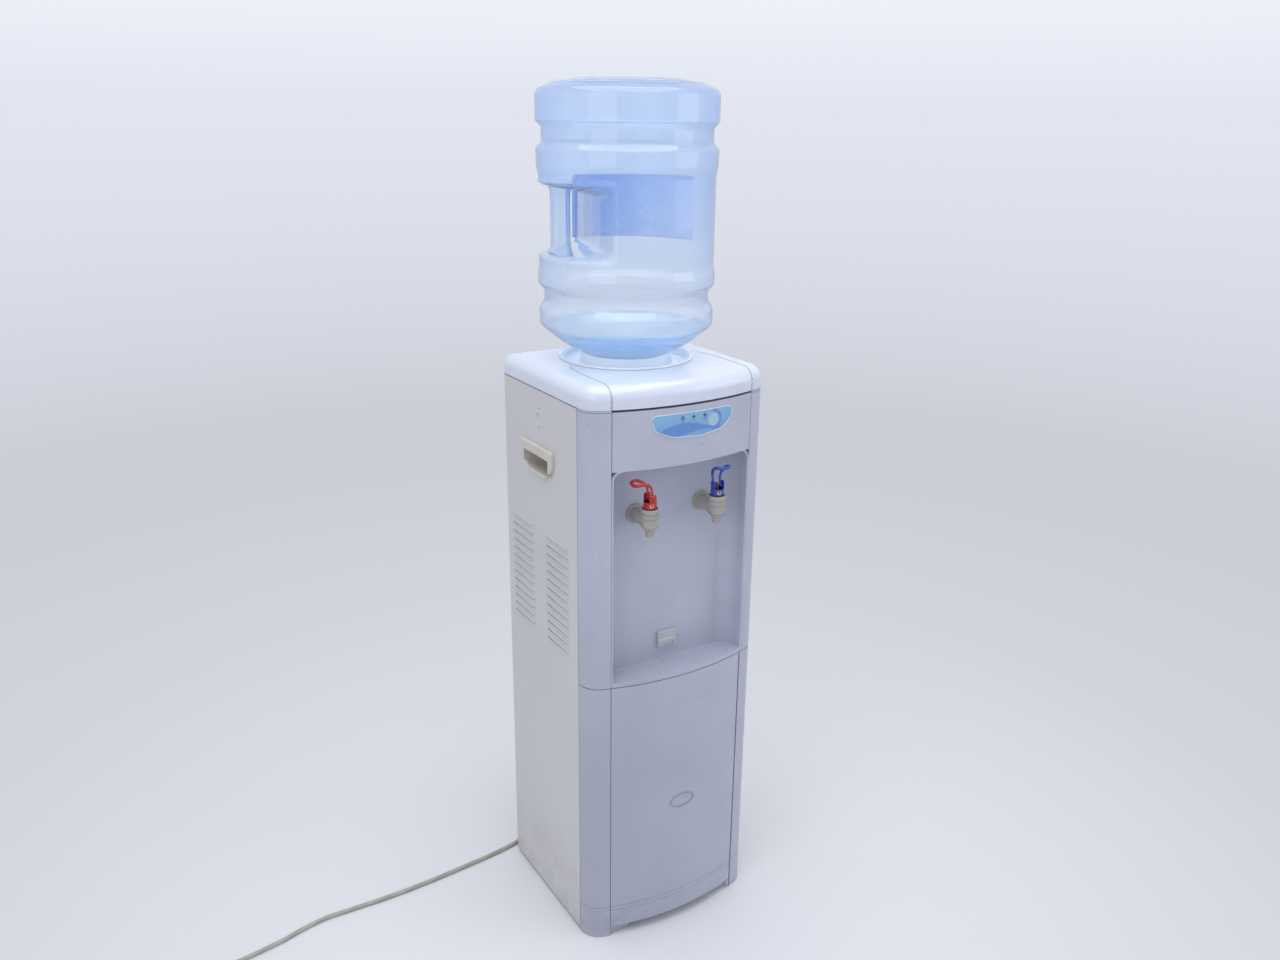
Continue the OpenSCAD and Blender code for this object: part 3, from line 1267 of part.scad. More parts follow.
// Turned and hollowed by a profile that follows the outer one at the wall's distance
function inward_point(pts, t, i) = let (d = unit(pts[i + 1] - pts[i - 1])) pts[i] + t * [-d[1], d[0]];
function inward(pts, t) = concat(
    [[pts[0][0] - t, pts[0][1] - 1]],
    [for (i = [1:len(pts) - 2]) inward_point(pts, t, i)],
    [[0, pts[len(pts) - 1][1] - t]]
);
grip_a = 165;
grip_bar_w = 32;
grip_z0 = mouth_z + 240;
grip_z1 = bottle_top - 146;
module grip_pocket(grow) {
    translate([0, bottle_y, grip_z0 - grow]) rotate([0, 0, grip_a - 90])
        linear_extrude(grip_z1 - grip_z0 + 2 * grow)
            polygon([
                [-132, 26 - grow], [-104, 54 - grow], [-30, pocket_floor - grow], [30, pocket_floor - grow],
                [104, 54 - grow], [132, 26 - grow], [150, 160], [-150, 160]
            ]);
}
module grip_bar() {
    translate([0, bottle_y, grip_z0 - 3]) rotate([0, 0, grip_a - 90])
        linear_extrude(grip_z1 - grip_z0 + 6)
            polygon(rounded(box_points(grip_bar_w, 27, 0, 103.5), [8, 8, 6, 6], 5));
}
module bottle_turn(line) {
    translate([0, bottle_y, 0]) rotate_extrude($fn = 96) polygon(line);
}
module bottle() {
    outer_line = rounded_path(bottle_profile, bottle_fillets);
    inner_line = inward(outer_line, bottle_wall);
    color([0.45, 0.62, 0.85]) difference() {
        union() {
            difference() {
                bottle_turn(concat(outer_line, [[0, mouth_z]]));
                grip_pocket(0);
            }
            intersection() {
                grip_bar();
                bottle_turn([[0, grip_z0 - 45], [117, grip_z0 - 45], [117, grip_z1 + 51], [0, grip_z1 + 51]]);
            }
        }
        difference() {
            bottle_turn(concat(inner_line, [[0, mouth_z - 1]]));
            grip_pocket(bottle_wall);
        }
    }
}

// The bottle's pushed-in cap, open round the probe
module bottle_cap() {
    color([0.85, 0.88, 0.95]) translate([0, bottle_y, 0]) difference() {
        translate([0, 0, mouth_z - 2]) cylinder(r = neck_r + 2, h = 24);
        translate([0, 0, mouth_z - seat_gap / 3]) cylinder(r = neck_r + run_gap, h = 30);
        translate([0, 0, mouth_z - 3]) cylinder(r = probe_r + 0.6, h = 10);
    }
}

left_side_panel();
right_side_panel();
back_panel();
base_plate();
feet();
top_cover();
upper_front_panel();
left_upper_pillar();
right_upper_pillar();
lower_front_frame();
display_panel();
indicator_lenses();
drip_tray_clip();
bottle_seat();
feed_probe();
cold_tank();
cold_tank_insulation();
hot_tank();
hot_tank_insulation();
tank_shelf();
machine_tray();
hot_feed_tube();
cold_outlet_tube();
hot_outlet_tube();
cooling_module();
heat_sink();
fan_frame();
fan_rotor();
control_board();
power_supply();
storage_liner();
door_panel();
door_inner();
door_badge();
door_catch();
hinge_pins();
hot_tap_body();
hot_tap_cap();
hot_tap_lever();
hot_tap_stem();
hot_tap_seal();
cold_tap_body();
cold_tap_cap();
cold_tap_lever();
cold_tap_stem();
cold_tap_seal();
tap_nuts();
side_handles();
switch_housing();
hot_switch();
cold_switch();
drain_outlet();
drain_cap();
strain_relief();
power_cord();
cord_coil();
power_plug();
bottle();
bottle_cap();
panel_screws();
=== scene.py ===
import json
import math

import bmesh
import bpy
from mathutils import Matrix, Vector

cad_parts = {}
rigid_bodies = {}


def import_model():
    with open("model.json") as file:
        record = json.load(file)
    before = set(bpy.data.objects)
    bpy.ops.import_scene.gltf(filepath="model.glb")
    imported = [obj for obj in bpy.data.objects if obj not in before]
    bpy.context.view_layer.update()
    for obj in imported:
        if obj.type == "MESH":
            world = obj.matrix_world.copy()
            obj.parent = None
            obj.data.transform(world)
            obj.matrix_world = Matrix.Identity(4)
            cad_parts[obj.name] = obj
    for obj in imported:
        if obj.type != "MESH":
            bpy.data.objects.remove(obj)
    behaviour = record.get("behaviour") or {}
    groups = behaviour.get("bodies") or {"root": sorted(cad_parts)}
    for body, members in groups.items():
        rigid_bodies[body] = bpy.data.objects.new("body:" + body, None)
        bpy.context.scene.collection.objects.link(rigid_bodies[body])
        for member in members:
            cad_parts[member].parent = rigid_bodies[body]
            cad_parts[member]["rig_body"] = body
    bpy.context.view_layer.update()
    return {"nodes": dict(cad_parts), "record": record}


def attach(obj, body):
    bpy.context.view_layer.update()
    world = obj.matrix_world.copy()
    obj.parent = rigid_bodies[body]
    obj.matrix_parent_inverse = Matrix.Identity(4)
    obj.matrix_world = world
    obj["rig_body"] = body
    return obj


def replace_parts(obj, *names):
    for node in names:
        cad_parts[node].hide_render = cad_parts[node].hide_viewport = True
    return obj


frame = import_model()
nodes = frame["nodes"]
MM = 0.001

# Sizes that the scene shares with the part, in millimetres
BOW_R, BOW_CY = 423.0, 267.0
SEAM_X = 121.5
LENS_X, LENS_Z = (-14.4, 4.5, 24.3), 883.0
TAP_X, TAP_Y, TAP_Z = 60.0, -144.0, 727.5
CAP_LOW, CAP_R = 22.3, 10.25
PIVOT_Z = 36.0
BOTTLE_Y = 30.0
MOUTH_Z, BOTTLE_TOP, BOTTLE_R, NECK_R = 855.0, 1345.0, 135.6, 27.5
GRIP_A, GRIP_R, POCKET_LOW, POCKET_HIGH = 165.0, 102.5, MOUTH_Z + 240, BOTTLE_TOP - 146
BOTTLE_WALL = 1.6
FILM_LOW, FILM_HIGH, FILM_R, FILM_T, FILM_START, FILM_SWEEP = 1107.0, 1204.0, 132.66, 0.12, 6.5, 94.0
COVER_PLUG_X, COVER_PLUG_Z = 121.6, 915.0


def bow_y(x):
    """Where the bowed front lies at x."""
    return BOW_CY - math.sqrt(BOW_R ** 2 - x * x)


# The camera fitted to the photograph: yaw, pitch and roll in degrees, place in metres, lens in millimetres
CAMERA_TURNS, CAMERA_PLACE, CAMERA_LENS = (-31.452, 18.812, 0.7036), (-0.85608, -1.41675, 1.30390), 30.68


def set_camera():
    yaw, pitch, roll = (math.radians(v) for v in CAMERA_TURNS)
    right = Vector((math.cos(yaw), math.sin(yaw), 0))
    back = Vector((math.sin(yaw) * math.cos(pitch), -math.cos(yaw) * math.cos(pitch), math.sin(pitch)))
    up = back.cross(right)
    turned_right = math.cos(roll) * right + math.sin(roll) * up
    turned_up = -math.sin(roll) * right + math.cos(roll) * up
    data = bpy.data.cameras.new("camera")
    data.sensor_width = 36
    data.lens = CAMERA_LENS
    data.clip_start = 0.05
    data.clip_end = 60
    camera = bpy.data.objects.new("camera", data)
    bpy.context.scene.collection.objects.link(camera)
    turn = Matrix((turned_right, turned_up, back)).transposed().to_4x4()
    camera.matrix_world = Matrix.Translation(CAMERA_PLACE) @ turn
    bpy.context.scene.camera = camera


set_camera()


# Shader graphs
def tone(r, g, b):
    """A colour from 0 to 255 as linear light."""
    return tuple(((v / 255 + 0.055) / 1.055) ** 2.4 if v > 10 else v / 255 / 12.92 for v in (r, g, b))


class Graph:
    """A material's node tree with short calls for the nodes that the scene needs."""

    def __init__(self, name):
        self.material = bpy.data.materials.new(name)
        self.material.use_nodes = True
        self.tree = self.material.node_tree
        self.tree.nodes.clear()
        self.out = self.tree.nodes.new("ShaderNodeOutputMaterial")
        self.shader = self.tree.nodes.new("ShaderNodeBsdfPrincipled")
        self.tree.links.new(self.shader.outputs["BSDF"], self.out.inputs["Surface"])
        self.place = self.tree.nodes.new("ShaderNodeTexCoord").outputs["Object"]

    def feed(self, socket, value):
        if isinstance(value, bpy.types.NodeSocket):
            self.tree.links.new(value, socket)
        elif isinstance(value, tuple) and socket.type == "RGBA":
            socket.default_value = (*value, 1.0) if len(value) == 3 else value
        else:
            socket.default_value = value

    def node(self, kind, settings=None, **inputs):
        made = self.tree.nodes.new(kind)
        for key, value in (settings or {}).items():
            setattr(made, key, value)
        for key, value in inputs.items():
            self.feed(made.inputs[key.replace("_", " ")], value)
        return made

    def math(self, operation, a, b=0.0):
        made = self.tree.nodes.new("ShaderNodeMath")
        made.operation = operation
        self.feed(made.inputs[0], a)
        self.feed(made.inputs[1], b)
        return made.outputs[0]

    def axes(self, socket=None):
        split = self.node("ShaderNodeSeparateXYZ", Vector=socket or self.place)
        return split.outputs[0], split.outputs[1], split.outputs[2]

    def times(self, a, b):
        return self.math("MULTIPLY", a, b)

    def minus(self, a, b):
        return self.math("SUBTRACT", a, b)

    def stretched(self, x, y, z):
        """The place in the part, scaled along each axis, so that a noise gets longer or shorter there."""
        return self.node("ShaderNodeMapping", Vector=self.place, Scale=(x, y, z)).outputs[0]

    def noise(self, scale, detail=3.0, rough=0.5, vector=None):
        made = self.node(
            "ShaderNodeTexNoise", Vector=vector or self.place, Scale=scale, Detail=detail, Roughness=rough,
        )
        return made.outputs[0]

    def span(self, value, a, b, c=0.0, d=1.0):
        """Carries a value from the range a to b over to the range c to d, and stops at its ends."""
        made = self.node("ShaderNodeMapRange", {"clamp": True})
        for socket, item in zip(made.inputs, (value, a, b, c, d)):
            self.feed(socket, item)
        return made.outputs[0]

    def blotch(self, share, scale, detail, rough, a, b):
        """A share that comes and goes with a noise, from none below a to all above b."""
        return self.times(self.span(self.noise(scale, detail, rough), a, b), share)

    def mix(self, share, a, b):
        made = self.tree.nodes.new("ShaderNodeMix")
        made.data_type = "RGBA"
        self.feed(made.inputs[0], share)
        self.feed(made.inputs[6], a)
        self.feed(made.inputs[7], b)
        return made.outputs[2]

    def bump(self, height, strength, distance, normal=None):
        made = self.node("ShaderNodeBump", Strength=strength, Distance=distance, Height=height)
        if normal is not None:
            self.feed(made.inputs["Normal"], normal)
        return made.outputs[0]

    def near_line(self, p, q, width, axes=(0, 2)):
        """1 within width of the segment p-q, seen along the third axis, else 0; in metres."""
        parts = self.axes()
        u, v = parts[axes[0]], parts[axes[1]]
        length = math.hypot(q[0] - p[0], q[1] - p[1])
        c, s = (q[0] - p[0]) / length, (q[1] - p[1]) / length
        du, dv = self.minus(u, p[0]), self.minus(v, p[1])
        along = self.math("ADD", self.times(du, c), self.times(dv, s))
        across = self.minus(self.times(dv, c), self.times(du, s))
        inside = self.times(self.span(along, -width, 0), self.span(along, length, length + width, 1, 0))
        return self.times(inside, self.span(self.math("ABSOLUTE", across), width, width * 0.4))

    def joint(self, axis, place, half, share, least_x=0.0):
        """Dirt along a joint: a thin dark line where one coordinate is near a value, beyond a least |x|."""
        parts = self.axes()
        line = self.span(self.math("ABSOLUTE", self.minus(parts[axis], place)), half, half * 0.5)
        line = self.times(line, self.span(self.noise(45, 4, 0.6), 0.25, 0.55, 0.7, 1))
        if least_x:
            line = self.times(line, self.math("GREATER_THAN", self.math("ABSOLUTE", parts[0]), least_x))
        return self.times(line, share)

    def finish(self, **values):
        """Feeds the shader's sockets and returns the material."""
        for key, value in values.items():
            self.feed(self.shader.inputs[key.replace("_", " ")], value)
        return self.material


def dim(colour, share):
    return tuple(v * share for v in colour)


def plastic(name, colour, rough, vary, grain, dirt=0.0, coat=0.0, marks=(), joints=(), lower_left_shade=0.0):
    """Moulded plastic: soft mottling, uneven gloss and a fine spark-eroded texture.

    dirt gathers near the floor, painted shade darkens the lower left, marks are scuffs or painted shade in
    the cover's groove, and joints are dark lines.
    """
    g = Graph(name)
    x, _, z = g.axes()
    light = tuple(min(1.0, v * (1 + vary)) for v in colour)
    base = g.mix(g.span(g.noise(9, 4, 0.6), 0.3, 0.7), dim(colour, 1 - 2.2 * vary), light)
    base = g.mix(g.blotch(0.12, 260, 2, 0.5, 0.45, 0.75), base, dim(colour, 0.8))
    # Painted shade: darker low down and towards the left
    if lower_left_shade:
        share = g.times(g.span(z, 0.30, 0.66, lower_left_shade, 0), g.span(x, -0.1, 0.14, 1, 0.3))
        base = g.mix(share, base, dim(colour, 0.72))
    if dirt:
        smut = g.blotch(g.span(z, 0.0, 0.09, 1, 0), 40, 5, 0.7, 0.42, 0.7)
        base = g.mix(g.times(smut, dirt), base, dim(colour, 0.45))
    # Scuffs, and painted shade where a mark follows the cover's groove
    for p, q, width, share, *seen in marks:
        worn = g.times(g.near_line(p, q, width, *seen), g.span(g.noise(300, 3, 0.6), 0.35, 0.6, 0.4, 1))
        base = g.mix(g.times(worn, share), base, dim(colour, 0.55))
    for line in joints:
        base = g.mix(g.joint(*line), base, dim(colour, 0.16))
    gloss = g.span(g.noise(24, 5, 0.65), 0.3, 0.75, rough * 0.82, rough * 1.25)
    fine = g.bump(g.noise(1900, 2, 0.5), grain, 0.00006)
    normal = g.bump(g.noise(14, 2, 0.5), 0.25, 0.0008, fine)
    return g.finish(Base_Color=base, Roughness=gloss, Normal=normal, Coat_Weight=coat, Coat_Roughness=0.08)


def metal(name, colour, rough=0.3, along=(1, 1, 60), vary=0.12):
    """Drawn or rolled bare metal with streaks along one direction."""
    g = Graph(name)
    streak = g.noise(30, 6, 0.6, g.stretched(*along))
    base = g.mix(g.span(streak, 0.3, 0.7), dim(colour, 1 - vary), colour)
    gloss = g.span(streak, 0.25, 0.75, rough * 0.7, rough * 1.4)
    normal = g.bump(streak, 0.15, 0.0002)
    return g.finish(Base_Color=base, Roughness=gloss, Metallic=1.0, Normal=normal)


SIDE_MARKS = (
    ((0.0205, 0.8735), (0.0215, 0.8740), 0.0016, 1.0), ((0.026, 0.866), (0.031, 0.861), 0.0008, 0.9),
    ((0.0205, 0.8660), (0.024, 0.8585), 0.0007, 0.9), ((0.0212, 0.8445), (0.0222, 0.8446), 0.0018, 1.0),
    ((-0.08, 0.71), (-0.074, 0.702), 0.0005, 0.4), ((0.105, 0.700), (0.108, 0.697), 0.0007, 0.4),
)
SIDE_JOINTS = ((1, -0.1003, 0.0008, 0.85), (2, 0.9024, 0.0010, 0.8))
LOUVRE_LIP, LOUVRE_PITCH = 0.6737, 0.0143
LOUVRE_ROWS, LOUVRE_COLUMNS = (0.4960, 0.6745), ((-0.0705, 0.0035), (0.048, 0.122))


def coated_steel():
    """Powder-coated sheet with orange peel, a few scratches and dust near the floor."""
    g = Graph("coated_steel")
    colour = tone(203, 203, 205)
    _, y, z = g.axes()
    base = g.mix(g.span(g.noise(6, 4, 0.6), 0.3, 0.7), dim(colour, 0.93), colour)
    base = g.mix(g.blotch(0.16, 750, 2, 0.4, 0.62, 0.72), base, dim(colour, 0.7))
    smut = g.blotch(g.span(z, 0.0, 0.16, 1, 0), 26, 6, 0.7, 0.4, 0.7)
    base = g.mix(g.times(smut, 0.3), base, tone(120, 112, 102))
    for p, q, width, share in SIDE_MARKS:
        base = g.mix(g.times(g.near_line(p, q, width, (1, 2)), share), base, tone(70, 68, 66))
    for line in SIDE_JOINTS:
        base = g.mix(g.joint(*line), base, tone(60, 52, 48))
    # The slit under each louvre's lip with painted shadow, darker towards the back
    step = g.math("FRACT", g.math("DIVIDE", g.minus(z, LOUVRE_LIP - 20 * LOUVRE_PITCH), LOUVRE_PITCH))
    slit_and_shadow = g.times(g.span(step, 0.0, 0.02), g.span(step, 0.105, 0.085))
    rows = g.times(g.math("GREATER_THAN", z, LOUVRE_ROWS[0]), g.math("LESS_THAN", z, LOUVRE_ROWS[1]))
    for low, high in LOUVRE_COLUMNS:
        inside = g.times(g.span(y, low, low + 0.001), g.span(y, high, high - 0.001))
        share = g.times(g.times(slit_and_shadow, rows), g.times(inside, g.span(y, low, high, 0.55, 0.95)))
        base = g.mix(share, base, tone(52, 50, 50))
    gloss = g.span(g.noise(12, 5, 0.6), 0.3, 0.7, 0.34, 0.5)
    peel = g.bump(g.noise(650, 2, 0.4), 0.3, 0.00012)
    normal = g.bump(g.noise(5, 2, 0.5), 0.2, 0.0012, peel)
    return g.finish(Base_Color=base, Roughness=gloss, Normal=normal)


def light_passes(g, share):
    """Lets part of the light through for shadows, as a clear thin wall does."""
    shadow = g.node("ShaderNodeLightPath").outputs["Is Shadow Ray"]
    blend = g.node("ShaderNodeMixShader", Fac=g.times(shadow, share))
    g.tree.links.new(g.shader.outputs[0], blend.inputs[1])
    g.tree.links.new(g.node("ShaderNodeBsdfTransparent").outputs[0], blend.inputs[2])
    g.tree.links.new(blend.outputs[0], g.out.inputs["Surface"])
    return g.material


WATER_LINE = 0.984


def clear_bottle():
    """Blue-tinted clear moulding, bluer at its edges; the last of the water deepens its lowest part."""
    g = Graph("clear_bottle")
    z = g.axes()[2]
    ring = g.span(g.math("ABSOLUTE", g.minus(z, WATER_LINE)), 0.0, 0.003, 1, 0)
    # Paler towards the bottom and bluer higher up: painted light
    base = g.mix(g.span(z, 1.03, 1.20), (0.90, 0.945, 0.995), (0.77, 0.86, 0.99))
    base = g.mix(g.span(z, WATER_LINE - 0.006, WATER_LINE + 0.006, 1, 0), base, (0.72, 0.87, 0.995))
    base = g.mix(g.times(ring, 0.4), base, (0.36, 0.54, 0.90))
    base = g.mix(g.blotch(0.2, 18, 4, 0.6, 0.4, 0.7), base, (0.78, 0.86, 0.985))
    rim = g.node("ShaderNodeLayerWeight", Blend=0.22).outputs["Facing"]
    base = g.mix(g.span(rim, 0.16, 0.85, 0, 0.92), base, (0.27, 0.44, 0.87))
    drops = g.node("ShaderNodeTexVoronoi", Vector=g.place, Scale=170.0).outputs["Distance"]
    drops = g.times(g.span(drops, 0.16, 0.08), g.span(g.noise(7, 3), 0.5, 0.62))
    ripple = g.bump(g.noise(16, 3, 0.5, g.stretched(1, 1, 0.6)), 0.35, 0.0012)
    normal = g.bump(g.noise(160, 2, 0.5), 0.08, 0.0003, ripple)
    normal = g.bump(drops, 0.7, 0.0008, normal)
    gloss = g.span(g.noise(50, 4, 0.6), 0.35, 0.75, 0.03, 0.12)
    g.finish(Base_Color=base, Roughness=gloss, Normal=normal, Transmission_Weight=0.94, IOR=1.36)
    return light_passes(g, 0.8)


def printed_film(name):
    """A pale blue printed film with soft waves of a deeper blue and a pale disc of light."""
    g = Graph(name)
    x, _, z = g.axes()
    base = g.mix(g.span(z, 0.852, 0.890), tone(104, 158, 202), tone(128, 178, 218))
    streak = g.span(g.noise(70, 2, 0.5, g.stretched(1, 1, 6)), 0.4, 0.65)
    base = g.mix(g.times(streak, 0.15), base, tone(176, 206, 232))
    for phase, waves, height, middle, colour in (
        (2.068, 44.0, 0.0075, 0.8680, tone(100, 140, 206)), (0.6, 40.0, 0.005, 0.8565, tone(120, 168, 214)),
    ):
        swell = g.times(g.math("SINE", g.math("ADD", g.times(x, waves), phase)), height)
        edge = g.minus(g.math("ADD", swell, middle), z)
        base = g.mix(g.span(edge, -0.0008, 0.0008), base, colour)
    across, along = g.minus(x, 0.041), g.minus(z, 0.8735)
    reach = g.math("SQRT", g.math("ADD", g.times(across, across), g.times(along, along)))
    base = g.mix(g.span(reach, 0.0085, 0.0105, 0.6, 0), base, tone(188, 206, 226))
    arc = g.span(g.math("ABSOLUTE", g.minus(reach, 0.0135)), 0.0015, 0.0028, 0.8, 0)
    base = g.mix(g.times(arc, g.math("GREATER_THAN", across, -0.002)), base, tone(96, 132, 204))
    gloss = g.span(g.noise(60, 4, 0.6), 0.3, 0.7, 0.2, 0.34)
    return g.finish(Base_Color=base, Roughness=gloss, Normal=g.bump(g.noise(900, 2), 0.1, 0.00005))


def bottle_film():
    """The bottle's wrap label: a plain blue translucent film, deeper towards one end."""
    g = Graph("bottle_film")
    x, y, z = g.axes()
    turn = g.math("ARCTAN2", g.minus(y, BOTTLE_Y * MM), x)
    base = g.mix(g.span(turn, 0.5, 1.2), tone(208, 225, 254), tone(146, 184, 244))
    base = g.mix(g.blotch(0.15, 26, 4, 0.5, 0.4, 0.7), base, tone(222, 234, 255))
    edge = g.math("ABSOLUTE", g.minus(z, (FILM_LOW + FILM_HIGH) / 2 * MM))
    base = g.mix(g.span(edge, 0.0470, 0.0478), base, tone(120, 150, 226))
    g.finish(
        Base_Color=base, Roughness=g.span(g.noise(30, 3), 0.3, 0.7, 0.2, 0.3),
        Normal=g.bump(g.noise(120, 3), 0.2, 0.0002), Transmission_Weight=0.92, IOR=1.2,
    )
    return light_passes(g, 0.7)


def jacket():
    """Flexible cord jacket, slightly twisted, with scuffs."""
    g = Graph("cord_jacket")
    uv = g.tree.nodes.new("ShaderNodeUVMap").outputs[0]
    u, v, _ = g.axes(uv)
    phase = g.math("ADD", g.times(u, 2 * math.pi * 34), g.times(v, 2 * math.pi))
    twist = g.span(g.math("SINE", phase), -0.4, 0.9)
    base = g.mix(g.times(twist, 0.5), tone(170, 168, 160), tone(138, 136, 130))
    base = g.mix(g.blotch(0.3, 90, 4, 0.7, 0.42, 0.7), base, tone(134, 130, 122))
    gloss = g.span(g.noise(120, 3), 0.3, 0.7, 0.38, 0.6)
    normal = g.bump(twist, 0.25, 0.0002, g.bump(g.noise(1500, 2), 0.2, 0.00005))
    return g.finish(Base_Color=base, Roughness=gloss, Normal=normal)


def rubber(name, colour, rough=0.75):
    """Dull rubber with paler worn patches."""
    g = Graph(name)
    worn = tuple(min(1, v * 1.5 + 0.01) for v in colour)
    base = g.mix(g.span(g.noise(60, 5, 0.7), 0.35, 0.7), colour, worn)
    return g.finish(
        Base_Color=base, Roughness=g.span(g.noise(45, 4), 0.3, 0.7, rough * 0.8, min(1.0, rough * 1.15)),
        Normal=g.bump(g.noise(900, 3), 0.3, 0.0001),
    )


def foam(name, colour):
    """Moulded bead foam: round cells with fine dark joints."""
    g = Graph(name)
    edges = {"feature": "DISTANCE_TO_EDGE"}
    cells = g.node("ShaderNodeTexVoronoi", edges, Vector=g.place, Scale=300.0).outputs[0]
    base = g.mix(g.span(cells, 0.0, 0.12), dim(colour, 0.75), colour)
    return g.finish(Base_Color=base, Roughness=0.85, Normal=g.bump(g.span(cells, 0, 0.3), 0.5, 0.0006))


# Scuffs, and painted shade along the cover's groove: two ends in metres, half width, share and the two axes
# that they are drawn on, if not x and z.
# Joints: axis, place, half width, share and the least |x|.
FRONT_MARKS = (
    ((-0.059, 0.419), (0.057, 0.411), 0.0009, 0.35),
    ((0.045, 0.268), (0.073, 0.262), 0.0008, 0.3),
    ((-0.140, 0.700), (-0.136, 0.672), 0.0006, 0.4),
    ((-0.133, 0.660), (-0.135, 0.648), 0.0006, 0.35),
    ((-0.134, 0.625), (-0.1345, 0.612), 0.0005, 0.4),
    ((-0.150, 0.884), (-0.1495, 0.882), 0.0012, 0.6),
    ((0.017, 0.838), (0.025, 0.8385), 0.0008, 0.8),
    ((-0.147, 0.560), (-0.1475, 0.5575), 0.0012, 0.6),
    ((-0.070, 0.300), (-0.0695, 0.298), 0.0012, 0.6),
    ((0.060, 0.150), (0.066, 0.146), 0.0008, 0.5),
    ((-0.1215, 0.792), (-0.1215, 0.899), 0.0011, 0.95),
    ((0.1215, 0.792), (0.1215, 0.899), 0.0011, 0.8),
)
FRONT_JOINTS = (
    (2, 0.4642, 0.0009, 0.8), (2, 0.9000, 0.0008, 0.7, 0.1212), (1, -0.1003, 0.0008, 0.7, 0.15),
    (2, 0.0578, 0.0006, 0.75), (2, 0.0508, 0.0005, 0.4),
)
COVER_JOINTS = ((2, 0.9012, 0.0006, 0.5, 0.1212),)
# The groove in the cover runs straight back from the front and then bends in towards the seat
GROOVE = [(SEAM_X, -158.0), (SEAM_X, BOTTLE_Y - 88)]
GROOVE += [
    (SEAM_X - 14 * (1 - math.cos(a)), BOTTLE_Y - 88 + 60 * math.sin(a) / math.sin(math.pi / 3))
    for a in (math.pi * k / 9 for k in range(1, 4))
]
# Painted shade in the cover's groove: a dark band along its path on both sides
COVER_GROOVE_SHADE = tuple(
    ((s * a[0] * MM, a[1] * MM), (s * b[0] * MM, b[1] * MM), 0.0024, 0.8, (0, 1))
    for s in (-1, 1) for a, b in zip(GROOVE, GROOVE[1:])
)

# Paints by the part's material slots, and those of pieces that differ from their slot's
PAINTS = {
    "sheet_steel": coated_steel(),
    "front_plastic": plastic(
        "front_plastic", tone(181, 185, 203), 0.36, 0.035, 0.3, dirt=0.5,
        marks=FRONT_MARKS, joints=FRONT_JOINTS, lower_left_shade=0.62,
    ),
    "cover_plastic": plastic(
        "cover_plastic", tone(210, 218, 236), 0.2, 0.02, 0.1, coat=0.35,
        marks=COVER_GROOVE_SHADE, joints=COVER_JOINTS,
    ),
    "white_plastic": plastic("white_plastic", tone(222, 224, 228), 0.34, 0.03, 0.25),
    "cream_plastic": plastic("cream_plastic", tone(201, 197, 189), 0.4, 0.04, 0.3),
    "tap_plastic": plastic("tap_plastic", tone(164, 161, 155), 0.36, 0.05, 0.3),
    "red_plastic": plastic("red_plastic", tone(176, 30, 36), 0.22, 0.06, 0.12, coat=0.3),
    "blue_plastic": plastic("blue_plastic", tone(38, 62, 160), 0.22, 0.06, 0.12, coat=0.3),
    "bottle_clear": clear_bottle(),
    "label_film": printed_film("label_film"),
    "stainless": metal("stainless", (0.62, 0.62, 0.61), 0.24),
    "zinc_steel": metal("zinc_steel", (0.55, 0.56, 0.57), 0.42, (8, 8, 8), 0.25),
    "foam": foam("foam", tone(232, 230, 220)),
    "black_plastic": plastic("black_plastic", tone(30, 30, 32), 0.42, 0.1, 0.35),
    "black_rubber": rubber("black_rubber", tone(26, 26, 27)),
    "silicone": plastic("silicone", tone(218, 217, 208), 0.45, 0.04, 0.2),
    "alloy": metal("alloy", (0.66, 0.67, 0.69), 0.35, (60, 1, 1), 0.15),
    "board_green": plastic("board_green", tone(34, 104, 60), 0.34, 0.1, 0.2, coat=0.2),
    "cord_jacket": jacket(),
}
EXTRA = {
    "dark_line": plastic("dark_line", tone(58, 58, 62), 0.5, 0.1, 0.2),
    "print_blue": plastic("print_blue", tone(24, 34, 66), 0.35, 0.08, 0.1),
    "print_white": plastic("print_white", tone(226, 232, 244), 0.3, 0.04, 0.1),
    "lens": plastic("lens_face", tone(132, 178, 214), 0.16, 0.05, 0.05, coat=0.5),
    "window": plastic("cap_window", tone(196, 160, 128), 0.32, 0.05, 0.1),
    "badge": plastic("badge_face", tone(150, 154, 170), 0.34, 0.05, 0.2),
    "clip": plastic("clip_face", tone(186, 189, 196), 0.34, 0.04, 0.2),
    # The seat is painted paler and bluer than its plastic: painted light that comes through the bottle
    "seat": plastic("seat_painted_glow", tone(236, 243, 254), 0.3, 0.02, 0.1),
    "bottle_film": bottle_film(),
    "stem": plastic("stem_shade", tone(92, 84, 84), 0.4, 0.05, 0.2),
    "relief": rubber("relief_rubber", tone(168, 165, 156), 0.6),
}
slot_of = {s["node"]: s["material_slot"] for s in frame["record"]["subparts"]}
for name, thing in nodes.items():
    thing.data.materials.clear()
    # The tap stems take a dark paint: painted shade inside the caps
    thing.data.materials.append(EXTRA["stem"] if name.endswith("_tap_stem") else PAINTS[slot_of[name]])


# Mesh helpers
def settle(thing, body, slot, paint=None):
    """Gives a new piece its place in the scene, its finish and its body."""
    if thing.name not in bpy.context.scene.collection.objects:
        bpy.context.scene.collection.objects.link(thing)
    thing.data.materials.clear()
    thing.data.materials.append(paint or PAINTS[slot])
    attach(thing, body)
    return thing


def smooth_faces(mesh, angle):
    mesh.polygons.foreach_set("use_smooth", [True] * len(mesh.polygons))
    mesh.set_sharp_from_angle(angle=math.radians(angle))


